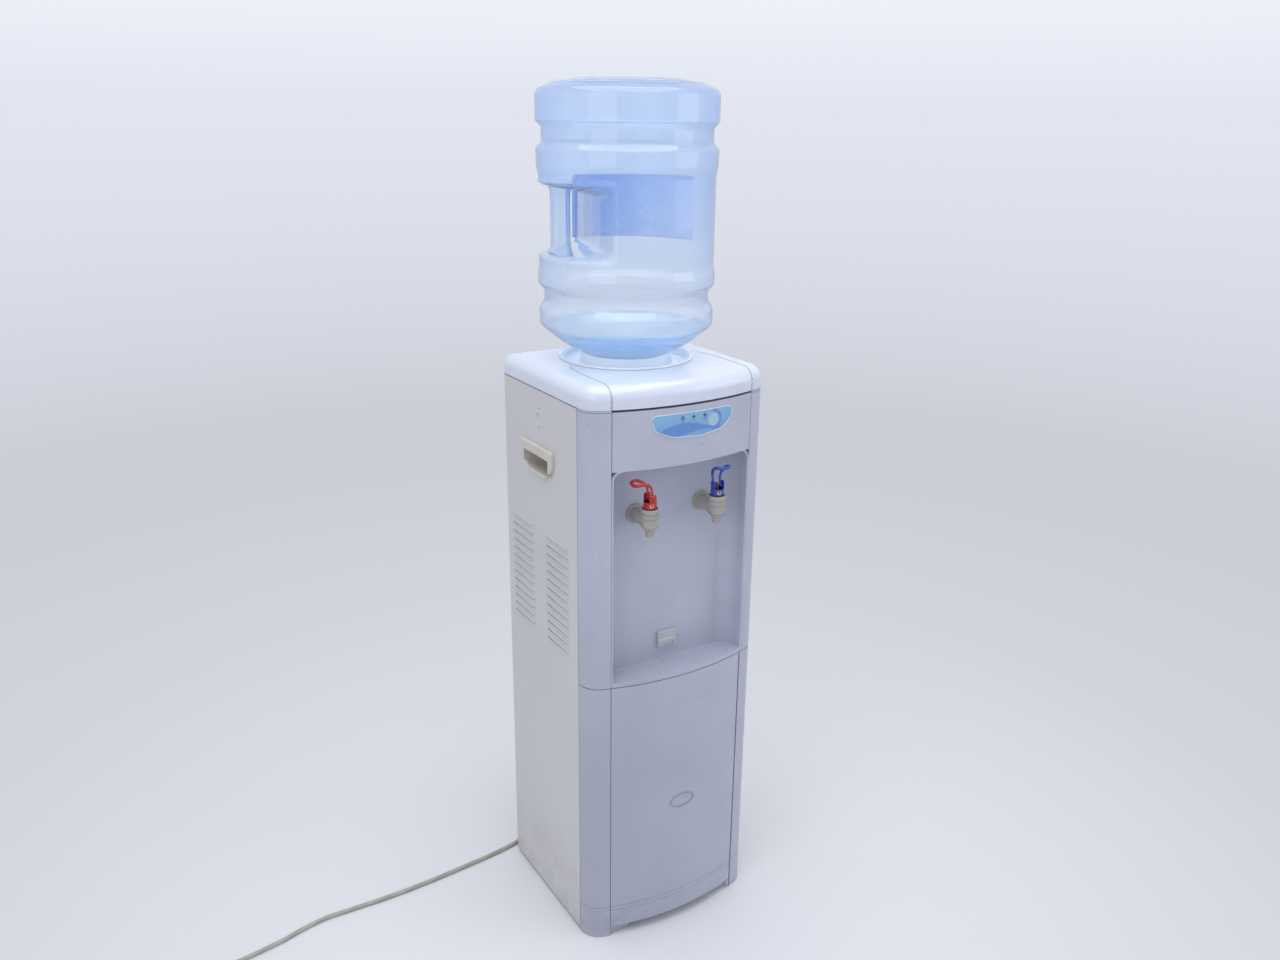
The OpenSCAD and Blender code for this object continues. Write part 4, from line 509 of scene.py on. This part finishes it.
def dressed(node, bevel, segments, paint=None):
    """A copy of a CAD node with clean faces and its edges rounded by bevel millimetres."""
    source = nodes[node]
    mesh = source.data.copy()
    bm = bmesh.new()
    bm.from_mesh(mesh)
    bmesh.ops.remove_doubles(bm, verts=bm.verts, dist=1e-6)
    bmesh.ops.dissolve_limit(bm, angle_limit=math.radians(0.6), verts=bm.verts, edges=bm.edges)
    sharp = math.radians(28)
    corners = [e for e in bm.edges if len(e.link_faces) == 2 and e.calc_face_angle(0) > sharp]
    bmesh.ops.bevel(
        bm, geom=corners, offset=bevel * MM, offset_type="OFFSET", segments=segments, profile=0.5,
        affect="EDGES", clamp_overlap=False,
    )
    bm.to_mesh(mesh)
    bm.free()
    for extra in [a for a in mesh.attributes if a.name == "custom_normal"]:
        mesh.attributes.remove(extra)
    smooth_faces(mesh, 35)
    thing = bpy.data.objects.new(node + "_dressed", mesh)
    settle(thing, source["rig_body"], slot_of[node], paint)
    weighted = thing.modifiers.new("even_shading", "WEIGHTED_NORMAL")
    weighted.keep_sharp = True
    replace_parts(thing, node)
    return thing


def piece(name, vertices, faces, body, slot, paint=None, angle=35, uvs=None):
    """A new piece from vertices in millimetres and faces."""
    mesh = bpy.data.meshes.new(name)
    mesh.from_pydata([tuple(c * MM for c in v) for v in vertices], [], faces)
    if uvs is not None:
        layer = mesh.uv_layers.new(name="UVMap")
        layer.data.foreach_set("uv", [c for loop in uvs for c in loop])
    bm = bmesh.new()
    bm.from_mesh(mesh)
    bmesh.ops.recalc_face_normals(bm, faces=bm.faces)
    bm.to_mesh(mesh)
    bm.free()
    smooth_faces(mesh, angle)
    thing = bpy.data.objects.new(name, mesh)
    return settle(thing, body, slot, paint)


def grid_faces(rings, per_ring, closed_path=False):
    """Faces between closed rings of vertices, and from the last back to the first on a closed path."""
    faces = []
    for k in range(rings if closed_path else rings - 1):
        here, there = k * per_ring, (k + 1) % rings * per_ring
        for i in range(per_ring):
            j = (i + 1) % per_ring
            faces.append((here + i, here + j, there + j, there + i))
    return faces


def turned(profile, centre, axis, segments):
    """Vertices and faces of a turned form; the profile runs from axis to axis as (radius, height)."""
    w = Vector(axis).normalized()
    u = w.orthogonal().normalized()
    v = w.cross(u)
    vertices, rings = [], []
    for r, h in profile:
        if r < 1e-6:
            rings.append([len(vertices)])
            vertices.append(tuple(Vector(centre) + w * h))
            continue
        ring = []
        for i in range(segments):
            a = 2 * math.pi * i / segments
            ring.append(len(vertices))
            vertices.append(tuple(Vector(centre) + w * h + u * (r * math.cos(a)) + v * (r * math.sin(a))))
        rings.append(ring)
    faces = []
    for a, b in zip(rings, rings[1:]):
        for i in range(segments):
            j = (i + 1) % segments
            if len(a) == 1 and len(b) > 1:
                faces.append((a[0], b[i], b[j]))
            elif len(b) == 1 and len(a) > 1:
                faces.append((a[j], a[i], b[0]))
            elif len(a) > 1:
                faces.append((a[i], a[j], b[j], b[i]))
    return vertices, faces


def joined(*parts):
    """Several lots of vertices and faces as one."""
    vertices, faces = [], []
    for more, loops in parts:
        faces += [tuple(i + len(vertices) for i in f) for f in loops]
        vertices += list(more)
    return vertices, faces


def ring_profile(r, z, thick, high, n=8):
    """A closed rounded section round radius r, for a ring that is turned."""
    return [
        (r + thick / 2 * math.cos(2 * math.pi * i / n), z + high / 2 * math.sin(2 * math.pi * i / n))
        for i in range(n + 1)
    ]


def tube(points, section, start, closed=False):
    """Vertices and faces of a tube; its section is a list of (u, v) or a function of the share of the way."""
    points = [Vector(p) for p in points]
    count = len(points)
    carried = Vector(start)
    vertices = []
    size = 0
    for i, p in enumerate(points):
        before = points[(i - 1) % count] if closed else points[max(i - 1, 0)]
        after = points[(i + 1) % count] if closed else points[min(i + 1, count - 1)]
        t = (after - before).normalized()
        carried = (carried - t * carried.dot(t)).normalized()
        side = t.cross(carried)
        outline = section(i / (count - 1)) if callable(section) else section
        size = len(outline)
        vertices += [tuple(p + carried * a + side * b) for a, b in outline]
    faces = grid_faces(count, size, closed_path=closed)
    if not closed:
        faces.append(tuple(reversed(range(size))))
        faces.append(tuple(range((count - 1) * size, count * size)))
    return vertices, faces


def disc_section(r, sides):
    turns = [2 * math.pi * k / sides for k in range(sides)]
    return [(r * math.cos(a), r * math.sin(a)) for a in turns]


def squared(a, power, wide, high):
    """A point at angle a on an ellipse that is squared up by a power under 1."""
    c, s = math.cos(a), math.sin(a)
    return wide * math.copysign(abs(c) ** power, c), high * math.copysign(abs(s) ** power, s)


def catmull(points, steps):
    """A smooth line through the points, with a number of steps between each two."""
    out = []
    for i in range(len(points) - 1):
        a, b = points[max(i - 1, 0)], points[i]
        c, d = points[i + 1], points[min(i + 2, len(points) - 1)]
        for k in range(steps):
            t = k / steps
            bend = (2 * a - 5 * b + 4 * c - d) + t * (3 * (b - c) + d - a)
            out.append(b + 0.5 * t * ((c - a) + t * bend))
    out.append(points[-1])
    return out


# Cord: the relief, the free run on the floor and the put-away coil are one length
CORD_ROUTE = [
    (-90, 174, 70), (-90, 183, 70), (-90, 194, 67.5), (-90, 204, 60.5), (-90, 211, 50),
    (-90.5, 213.5, 37), (-92, 211.5, 24), (-96, 206.5, 13), (-103, 198.5, 6), (-112, 188, 3.8),
    (-124, 175.5, 3.55), (-138, 166, 3.5), (-153, 159.5, 3.5), (-178, 153.5, 3.5), (-205, 149.5, 3.5),
    (-235, 146, 3.5), (-266, 143, 3.5), (-295, 140.5, 3.5), (-325, 138, 3.5), (-372, 135.5, 3.5),
    (-416, 135, 3.5), (-448, 136, 3.5), (-478, 137, 3.5), (-504, 138, 3.5), (-526, 137, 3.5),
    (-548, 133, 3.5), (-571, 127, 3.5), (-594, 121, 3.5), (-628, 115, 3.5), (-662, 110.5, 3.5),
    (-686, 105, 3.5), (-706.5, 95.5, 3.5),
]
CORD_R, CORD_SIDES = 3.5, 12
COIL_X, COIL_Y, COIL_TURNS, COIL_R, COIL_STEP, COIL_START = -694, 44, 4, 47.7, 7.5, 138.0


def coil_point(t):
    """Where the coil is after t turns: inwards on the floor, then up one layer and out again."""
    u = max(0.0, min(1.0, (t - COIL_TURNS / 2 + 0.25) * 2))
    r = COIL_R - COIL_STEP * (COIL_TURNS / 2 - abs(t - COIL_TURNS / 2))
    a = math.radians(COIL_START + 360 * t)
    lift = COIL_STEP * u * u * (3 - 2 * u)
    return Vector((COIL_X + r * math.cos(a), COIL_Y + r * math.sin(a), CORD_R + lift))


def make_cord():
    way = Vector((math.cos(math.radians(COIL_START + 90)), math.sin(math.radians(COIL_START + 90)), 0))
    first = coil_point(0) - 7 * way
    points = catmull([Vector(p) for p in CORD_ROUTE] + [first], 4)
    points += [coil_point(i / 36) for i in range(36 * COIL_TURNS + 1)]
    points += [coil_point(COIL_TURNS) + 19 * way, coil_point(COIL_TURNS) + 38 * way]
    vertices, faces = tube(points, disc_section(CORD_R, CORD_SIDES), (1, 0, 0))
    shares = [0.0]
    for a, b in zip(points, points[1:]):
        shares.append(shares[-1] + (b - a).length)
    shares = [s / shares[-1] for s in shares]
    uvs = []
    for f in faces:
        for position, index in enumerate(f):
            k, i = divmod(index, CORD_SIDES)
            v = i / CORD_SIDES
            if len(f) == 4 and position in (1, 2) and i == 0:
                v = 1.0
            uvs.append((shares[k], v))
    cord = piece("power_cord_run", vertices, faces, "cabinet", "cord_jacket", None, 60, uvs)
    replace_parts(cord, "power_cord", "cord_coil")
    relief = dressed("strain_relief", 0.3, 2, EXTRA["relief"])
    plug = dressed("power_plug", 0.5, 2, EXTRA["relief"])


make_cord()


# Bottle
def corner_arc(a, b, c, r, n):
    """The corner at b between a and c, rounded with radius r in n steps."""
    if r <= 0:
        return [b]
    u, v = (a - b).normalized(), (c - b).normalized()
    half = math.acos(max(-1.0, min(1.0, u.dot(v)))) / 2
    m = b + (u + v).normalized() * r / math.sin(half)
    p, q = b + u * r / math.tan(half) - m, b + v * r / math.tan(half) - m
    a0 = math.atan2(p.y, p.x)
    turn = math.atan2(p.x * q.y - p.y * q.x, p.dot(q))
    return [m + Vector((math.cos(a0 + turn * i / n), math.sin(a0 + turn * i / n))) * r for i in range(n + 1)]


def bottle_profile():
    """The bottle's outer line as (radius, z), from its mouth below to the middle of its base on top."""
    low = [
        (NECK_R, 0), (NECK_R, 48), (NECK_R + 8.5, 67), (NECK_R + 18.5, 79), (NECK_R + 32.5, 87.5),
        (NECK_R + 46.5, 94), (BOTTLE_R - 34.6, 109.5), (BOTTLE_R - 2, 136), (BOTTLE_R - 2, 160),
        (BOTTLE_R - 10, 172), (BOTTLE_R - 10, 187), (BOTTLE_R - 1, 198), (BOTTLE_R - 1, 214),
        (BOTTLE_R - 3, 226),
    ]
    high = [
        (BOTTLE_R - 3, 135), (BOTTLE_R, 119), (BOTTLE_R, 97), (BOTTLE_R - 8, 88), (BOTTLE_R - 8, 68),
        (BOTTLE_R, 59), (BOTTLE_R, 16), (BOTTLE_R - 23.6, 5), (BOTTLE_R - 51.6, 0), (BOTTLE_R - 57.6, 0),
        (BOTTLE_R - 61.6, 7), (0, 7),
    ]
    fillets = [0, 12, 14, 30, 60, 80, 60, 14, 8, 5, 5, 5, 6, 8, 10, 6, 6, 4, 4, 6, 14, 14, 4, 2, 3, 0]
    points = [Vector((r, MOUTH_Z + z)) for r, z in low] + [Vector((r, BOTTLE_TOP - z)) for r, z in high]
    line = [points[0]]
    for i in range(1, len(points) - 1):
        line += corner_arc(points[i - 1], points[i], points[i + 1], fillets[i], 6)
    line.append(points[-1])
    fine = [line[0]]
    for p in line[1:]:
        start = fine[-1]
        steps = max(1, int((p - start).length / 3.0))
        fine += [start + (p - start) * k / steps for k in range(1, steps + 1)]
    return fine


def pocket_radius(turn):
    """Distance from the axis to the pocket's floor in a direction measured from the grip's.

    The floor is flat in the middle, then leans back a little, then slants out to the bottle's side.
    """
    c, s = math.cos(turn), abs(math.sin(turn))
    if c <= 0.05:
        return 1e3
    flat = 60.0 / c
    if flat * s > 30:
        flat = 62.43 / (c + 0.0811 * s)
    slant = 158.0 / (c + s) if c + s > 0.1 else 1e3
    return max(flat, slant) if s * flat > 104 else flat


def soft_min(a, b, k):
    """The lesser of two values, with the change from one to the other rounded over k."""
    h = max(0.0, k - abs(a - b)) / k
    return min(a, b) - h * h * k / 4


def smooth_step(a, b, x):
    t = max(0.0, min(1.0, (x - a) / (b - a)))
    return t * t * (3 - 2 * t)


def thin_wall(name, vertices, faces):
    """A piece of the bottle from its outer surface, with the wall's thickness inside it."""
    thing = piece(name, vertices, faces, "bottle", "bottle_clear", None, 80)
    wall = thing.modifiers.new("wall", "SOLIDIFY")
    wall.thickness = BOTTLE_WALL * MM
    wall.offset = -1
    return thing


def make_bottle_shell():
    line = bottle_profile()
    per_ring = 240
    vertices = []
    for p in line:
        share = smooth_step(POCKET_LOW - 1, POCKET_LOW + 17, p.y)
        share *= smooth_step(POCKET_HIGH + 1, POCKET_HIGH - 17, p.y)
        for k in range(per_ring):
            a = 2 * math.pi * k / per_ring
            r = p.x
            if share > 0:
                turn = (math.degrees(a) - GRIP_A + 180) % 360 - 180
                r = r + (soft_min(r, pocket_radius(math.radians(turn)), 2.0) - r) * share
            vertices.append((r * math.cos(a), BOTTLE_Y + r * math.sin(a), p.y))
    rows = len(line) - 1
    vertices = vertices[:rows * per_ring]
    faces = grid_faces(rows, per_ring)
    vertices.append((0, BOTTLE_Y, line[-1].y))
    last_ring, top = (rows - 1) * per_ring, len(vertices) - 1
    faces += [(last_ring + i, last_ring + (i + 1) % per_ring, top) for i in range(per_ring)]
    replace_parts(thin_wall("bottle_shell", vertices, faces), "bottle")


def make_grip_post():
    """The bar that stands free in the pocket, flared where it runs into the bottle; its ends stay open."""
    height = POCKET_HIGH - POCKET_LOW

    def section(share):
        from_end = min(share, 1 - share) * height
        flare = 1 + 0.28 * (1 - smooth_step(0, 16, from_end))
        return [squared(2 * math.pi * k / 40, 0.62, 12.6 * flare, 15.4 * flare) for k in range(40)]

    c, s = math.cos(math.radians(GRIP_A)), math.sin(math.radians(GRIP_A))
    axis = [(GRIP_R * c, BOTTLE_Y + GRIP_R * s, POCKET_LOW + height * k / 26) for k in range(27)]
    vertices, faces = tube(axis, section, (c, s, 0))
    thin_wall("bottle_grip_post", vertices, faces[:-2])


def make_bottle_label():
    """A thin curved sheet on the bottle's far side: two radii, two heights and the steps round it."""
    across, steps = [], 48
    for r in (FILM_R, FILM_R + FILM_T):
        for z in (FILM_LOW, FILM_HIGH):
            for k in range(steps + 1):
                a = math.radians(FILM_START + FILM_SWEEP * k / steps)
                across.append((r * math.cos(a), BOTTLE_Y + r * math.sin(a), z))
    n = steps + 1
    sheet = []
    for k in range(steps):
        sheet.append((k, k + 1, n + k + 1, n + k))
        sheet.append((2 * n + k, 3 * n + k, 3 * n + k + 1, 2 * n + k + 1))
        sheet.append((k, 2 * n + k, 2 * n + k + 1, k + 1))
        sheet.append((n + k, n + k + 1, 3 * n + k + 1, 3 * n + k))
    sheet += [(0, n, 3 * n, 2 * n), (n - 1, 3 * n - 1, 4 * n - 1, 2 * n - 1)]
    piece("bottle_label", across, sheet, "bottle", "label_film", EXTRA["bottle_film"], 40)


make_bottle_shell()
make_grip_post()
make_bottle_label()


# Cabinet and fittings: the CAD shapes with rounded edges
for name in ("left_side_panel", "right_side_panel", "back_panel"):
    dressed(name, 0.3, 2)
dressed("top_cover", 0.4, 2)
dressed("bottle_seat", 0.6, 3, paint=EXTRA["seat"])
dressed("upper_front_panel", 0.35, 2)
for name in ("left_upper_pillar", "right_upper_pillar", "lower_front_frame", "door_panel"):
    dressed(name, 0.45, 3)
dressed("door_badge", 0.45, 3, paint=EXTRA["badge"])
dressed("display_panel", 0.25, 2)
dressed("indicator_lenses", 0.35, 3, paint=EXTRA["lens"])
dressed("drip_tray_clip", 0.5, 3, paint=EXTRA["clip"])
dressed("side_handles", 0.6, 3)
dressed("bottle_cap", 0.4, 2, paint=PAINTS["blue_plastic"])
for name in ("feet", "base_plate", "storage_liner", "door_inner", "door_catch", "feed_probe"):
    dressed(name, 0.4, 2)
for name in (
    "switch_housing", "hot_switch", "cold_switch", "drain_outlet", "drain_cap", "panel_screws", "fan_frame",
):
    dressed(name, 0.3, 2)
for name in ("hot_tap_body", "cold_tap_body"):
    dressed(name, 0.6, 3)
for name in ("hot_tap_cap", "cold_tap_cap"):
    dressed(name, 0.7, 3)


# Levers: a rounded rail bent into a loop, with its two eyes and the bar under the cap
def lever_points():
    """The rail's middle line: up from one eye, over in an arc that widens, round the tip and back."""
    base, half_w, bend, tip, r = 6.0, 11.0, 95.0, 118.0, 20.0

    def at(side, w, a):
        a = math.radians(a)
        return Vector((side * w, -(r - r * math.cos(a)), 8 + r * math.sin(a)))

    def half(a):
        return base + (half_w - base) * math.sin(math.radians(a * 90 / bend)) ** 1.4

    rise = [13.5 * i for i in range(8)]
    points = [Vector((-base, 0, 0)), Vector((-base, 0, 5))]
    points += [at(-1, half(a), a) for a in rise]
    for b in range(-75, 76, 15):
        side = (b > 0) - (b < 0)
        turn = math.radians(b)
        points.append(at(side, half_w * math.sin(abs(turn)), bend + (tip - bend) * math.cos(turn)))
    points += [at(1, half(a), a) for a in reversed(rise)]
    points += [Vector((base, 0, 5)), Vector((base, 0, 0))]
    return catmull(points, 3)


def lever_section(share):
    """The rail's section, thinner near the eyes, which go into the cap."""
    stout = 1.58 + 0.79 * smooth_step(0.12, 0.20, share) * smooth_step(0.88, 0.80, share)
    return [squared(2 * math.pi * k / 16, 0.75, stout, stout) for k in range(16)]


def eye(x):
    h, r = 1.65, 3.0
    profile = [(0, -h), (r - 0.4, -h), (r, -h + 0.4), (r, h - 0.4), (r - 0.4, h), (0, h)]
    return turned(profile, (x, 0, 0), (1, 0, 0), 28)


EYE_X, BAR_Y = 6.0, 4.2


def make_lever(side, word, slot, lean):
    """A tap's lever, made upright over its pivot and turned by lean."""
    parts = [tube(lever_points(), lever_section, (1, 0, 0))]
    for s in (-1, 1):
        parts.append(eye(s * EYE_X))
        small = [(0, -1.65), (1.9, -1.65), (2.2, -1.35), (2.2, 1.35), (1.9, 1.65), (0, 1.65)]
        parts.append(turned(small, (s * EYE_X, BAR_Y, 0), (1, 0, 0), 20))
        pin = [(0, 0), (1.5, 0), (1.5, 3.55), (1.2, 3.85), (0, 3.85)]
        parts.append(turned(pin, (s * EYE_X, 0, 0), (s, 0, 0), 20))
        lug = [(-1.65, 0, -1.7), (1.65, 0, -1.7), (1.65, BAR_Y, -1.7), (-1.65, BAR_Y, -1.7)]
        lug += [(p[0], p[1], 1.7) for p in lug]
        loops = [(0, 3, 2, 1), (4, 5, 6, 7), (0, 1, 5, 4), (1, 2, 6, 5), (2, 3, 7, 6), (3, 0, 4, 7)]
        parts.append(([(p[0] + s * EYE_X, p[1], p[2]) for p in lug], loops))
    bar = [(0, -EYE_X), (1.2, -EYE_X), (1.2, EYE_X), (0, EYE_X)]
    parts.append(turned(bar, (0, BAR_Y, 0), (1, 0, 0), 16))
    vertices, faces = joined(*parts)
    place = Matrix.Translation((side * TAP_X, TAP_Y, TAP_Z + PIVOT_Z)) @ lean
    vertices = [tuple(place @ Vector(v)) for v in vertices]
    loop = piece(word + "_lever_loop", vertices, faces, word + "_lever", slot, None, 40)
    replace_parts(loop, word + "_tap_lever")


make_lever(-1, "hot", "red_plastic", Matrix.Rotation(math.radians(-90), 4, "Z"))
make_lever(1, "cold", "blue_plastic", Matrix.Rotation(math.radians(-18), 4, "X"))


# Small things on the taps: the dark ring under each cap, the line round each collar, the cap's window
def make_tap_details(side, word):
    x = side * TAP_X
    ring = turned(ring_profile(10.9, TAP_Z + 21.85, 2.6, 0.7), (x, TAP_Y, 0), (0, 0, 1), 56)
    line = turned(ring_profile(13.25, TAP_Z + 14.2, 0.5, 0.8), (x, TAP_Y, 0), (0, 0, 1), 56)
    piece(word + "_tap_ring", *joined(ring, line), "cabinet", "black_plastic", EXTRA["dark_line"], 60)
    a0 = math.radians(-90 - 16)
    outline = [squared(2 * math.pi * k / 20, 0.4, 3.3, 2.9) for k in range(20)]
    vertices = []
    for lift, shrink in ((-0.3, 1.0), (0.12, 1.0), (0.22, 0.9)):
        for u, v in outline:
            a = a0 + u * shrink / CAP_R
            r = CAP_R + lift
            z = TAP_Z + CAP_LOW + 5.2 + v * shrink
            vertices.append((x + r * math.cos(a), TAP_Y + r * math.sin(a), z))
    faces = grid_faces(3, 20) + [tuple(range(40, 60))]
    piece(word + "_cap_window", vertices, faces, word + "_head", "cream_plastic", EXTRA["window"], 50)


make_tap_details(-1, "hot")
make_tap_details(1, "cold")


# The display's raised rim and the plain signs on its lenses
def corner_loop(points, radii):
    """A closed outline with each corner rounded by its own radius."""
    flat = [Vector(p) for p in points]
    out = []
    for i, b in enumerate(flat):
        out += corner_arc(flat[i - 1], b, flat[(i + 1) % len(flat)], radii[i], 5)
    return out


LABEL = [
    (-65, 2), (-59, 7.3), (70, 7), (77.5, 2.5), (76.5, -9), (60, -25), (18, -30.5), (-30, -27.5), (-58, -16),
]
LABEL_ROUNDS = [4, 4, 6, 6, 14, 30, 60, 40, 14]


def make_display():
    loop = corner_loop(LABEL, LABEL_ROUNDS)
    fine = []
    for a, b in zip(loop, loop[1:] + loop[:1]):
        steps = max(1, int((b - a).length / 4))
        fine += [a + (b - a) * k / steps for k in range(steps)]
    path = [(p.x, bow_y(p.x) - 0.75, LENS_Z + p.y) for p in fine]
    vertices, faces = tube(path, disc_section(0.55, 8), (0, -1, 0), True)
    piece("display_rim", vertices, faces, "cabinet", "label_film", EXTRA["print_white"], 60)
    face_y = -157.42
    left, middle, right = LENS_X
    ring = turned(ring_profile(2.05, 0, 0.95, 0.2, 6), (left, face_y, LENS_Z), (0, -1, 0), 32)
    dot_line = [(0, 0.12), (1.9, 0.12), (2.1, 0.0), (2.1, -0.1)]
    dot = turned(dot_line, (middle, face_y + 0.05, LENS_Z), (0, -1, 0), 28)
    cup_path = [(-1.9, 1.8), (-1.4, -1.5), (1.4, -1.5), (1.9, 1.8), (-1.9, 1.8)]
    cup_path = [(right + x, face_y + 0.30, LENS_Z + z) for x, z in cup_path]
    cup = tube(cup_path, disc_section(0.42, 6), (0, -1, 0))
    dashes = []
    for x in LENS_X:
        y, z = bow_y(x) - 0.85, LENS_Z - 5.6
        dashes.append(tube([(x - 2.6, y, z), (x + 2.6, y, z)], disc_section(0.28, 6), (0, 0, 1)))
    piece("display_signs", *joined(ring, dot, cup, *dashes), "cabinet", "label_film", EXTRA["print_blue"], 60)


make_display()


# A small screw plug near the cover's right front corner
def make_plug():
    x = COVER_PLUG_X
    out = Vector((x, bow_y(x) - BOW_CY, 0)).normalized()
    centre = Vector((x, bow_y(x), COVER_PLUG_Z)) - out * 0.6
    body = turned([(0, 0.2), (3.1, 0.2), (3.5, 0.5), (3.5, 0.9), (2.9, 1.15), (0, 1.3)], centre, out, 32)
    piece("cover_plug", *body, "cabinet", "cover_plastic", PAINTS["white_plastic"], 50)
    # The slot is a dark rod: painted shade in the plug's slot
    side = Vector((0, 0, 1)).cross(out).normalized()
    lean = (side * 0.8 + Vector((0, 0, 0.6))).normalized()
    ends = [centre + out * 1.1 - lean * 2.4, centre + out * 1.1 + lean * 2.4]
    slot = tube(ends, disc_section(0.55, 8), tuple(out))
    piece("cover_plug_slot", *slot, "cabinet", "black_plastic", EXTRA["dark_line"], 60)


make_plug()


# Stage: a pale floor that takes the shadow near the object and melts into an even backdrop further out
def make_stage():
    g = Graph("floor_paint")
    x, y, _ = g.axes()
    far = g.math("SQRT", g.math("ADD", g.times(x, x), g.times(y, y)))
    base = g.mix(g.times(g.noise(3, 4), 0.05), tone(222, 223, 229), tone(208, 210, 216))
    g.finish(Base_Color=base, Roughness=0.6)
    plain = g.mix(g.span(far, 1.0, 2.4), tone(211, 214, 223), tone(203, 206, 215))
    plain = g.mix(g.span(g.math("DIVIDE", 1.0, far), 0.30, 0.02, 0, 1), plain, tone(224, 228, 239))
    glow = g.node("ShaderNodeEmission", Color=plain, Strength=1.0)
    path = g.node("ShaderNodeLightPath")
    seen = g.math("MAXIMUM", path.outputs["Is Camera Ray"], path.outputs["Is Glossy Ray"])
    seen = g.math("MAXIMUM", seen, path.outputs["Is Transmission Ray"])
    blend = g.node("ShaderNodeMixShader", Fac=g.times(seen, g.span(far, 0.45, 1.3)))
    g.tree.links.new(g.shader.outputs[0], blend.inputs[1])
    g.tree.links.new(glow.outputs[0], blend.inputs[2])
    g.tree.links.new(blend.outputs[0], g.out.inputs["Surface"])
    mesh = bpy.data.meshes.new("floor")
    rings = [(0, 0), (1500, 0), (4000, 0), (12000, 0), (60000, 0)]
    vertices, faces = turned(rings, (0, 0, -0.4), (0, 0, 1), 128)
    mesh.from_pydata([tuple(c * MM for c in v) for v in vertices], [], faces)
    floor = bpy.data.objects.new("floor", mesh)
    mesh.materials.append(g.material)
    bpy.context.scene.collection.objects.link(floor)
    world = bpy.data.worlds.new("world")
    bpy.context.scene.world = world
    world.use_nodes = True
    tree = world.node_tree
    tree.nodes.clear()
    out = tree.nodes.new("ShaderNodeOutputWorld")
    light = tree.nodes.new("ShaderNodeBackground")
    seen = tree.nodes.new("ShaderNodeBackground")
    choose = tree.nodes.new("ShaderNodeMixShader")
    path = tree.nodes.new("ShaderNodeLightPath")
    shades = []
    for one, two in (("Is Camera Ray", "Is Transmission Ray"), (None, "Is Glossy Ray")):
        either = tree.nodes.new("ShaderNodeMath")
        either.operation = "MAXIMUM"
        tree.links.new(path.outputs[one] if one else shades[-1].outputs[0], either.inputs[0])
        tree.links.new(path.outputs[two], either.inputs[1])
        shades.append(either)
    split = tree.nodes.new("ShaderNodeSeparateXYZ")
    tree.links.new(tree.nodes.new("ShaderNodeTexCoord").outputs["Generated"], split.inputs[0])
    ramp = tree.nodes.new("ShaderNodeValToRGB")
    tree.links.new(split.outputs[2], ramp.inputs[0])
    ramp.color_ramp.elements[0].position = 0.0
    ramp.color_ramp.elements[0].color = (*tone(225, 229, 240), 1)
    ramp.color_ramp.elements[1].position = 0.12
    ramp.color_ramp.elements[1].color = (*tone(242, 246, 254), 1)
    tree.links.new(ramp.outputs[0], seen.inputs["Color"])
    light.inputs["Color"].default_value = (*tone(240, 242, 248), 1)
    light.inputs["Strength"].default_value = 0.6
    seen.inputs["Strength"].default_value = 1.0
    tree.links.new(shades[-1].outputs[0], choose.inputs[0])
    tree.links.new(light.outputs[0], choose.inputs[1])
    tree.links.new(seen.outputs[0], choose.inputs[2])
    tree.links.new(choose.outputs[0], out.inputs["Surface"])


def lamp(name, place, target, size, power):
    """A rectangular area light that looks at a target; metres and watts."""
    data = bpy.data.lights.new(name, "AREA")
    data.shape = "RECTANGLE"
    data.size, data.size_y = size
    data.energy = power
    thing = bpy.data.objects.new(name, data)
    bpy.context.scene.collection.objects.link(thing)
    thing.location = place
    thing.rotation_euler = (Vector(place) - Vector(target)).to_track_quat("Z", "Y").to_euler()


make_stage()
lamp("overhead", (-0.2, -0.3, 3.0), (0, 0, 0.5), (2.6, 2.6), 52)
lamp("left_fill", (-2.9, -1.6, 1.7), (0, 0, 0.6), (2.2, 2.2), 17)
lamp("right_fill", (2.4, -2.2, 1.7), (0, 0, 0.6), (2.0, 2.0), 15.5)
bpy.context.scene.view_settings.view_transform = "Standard"
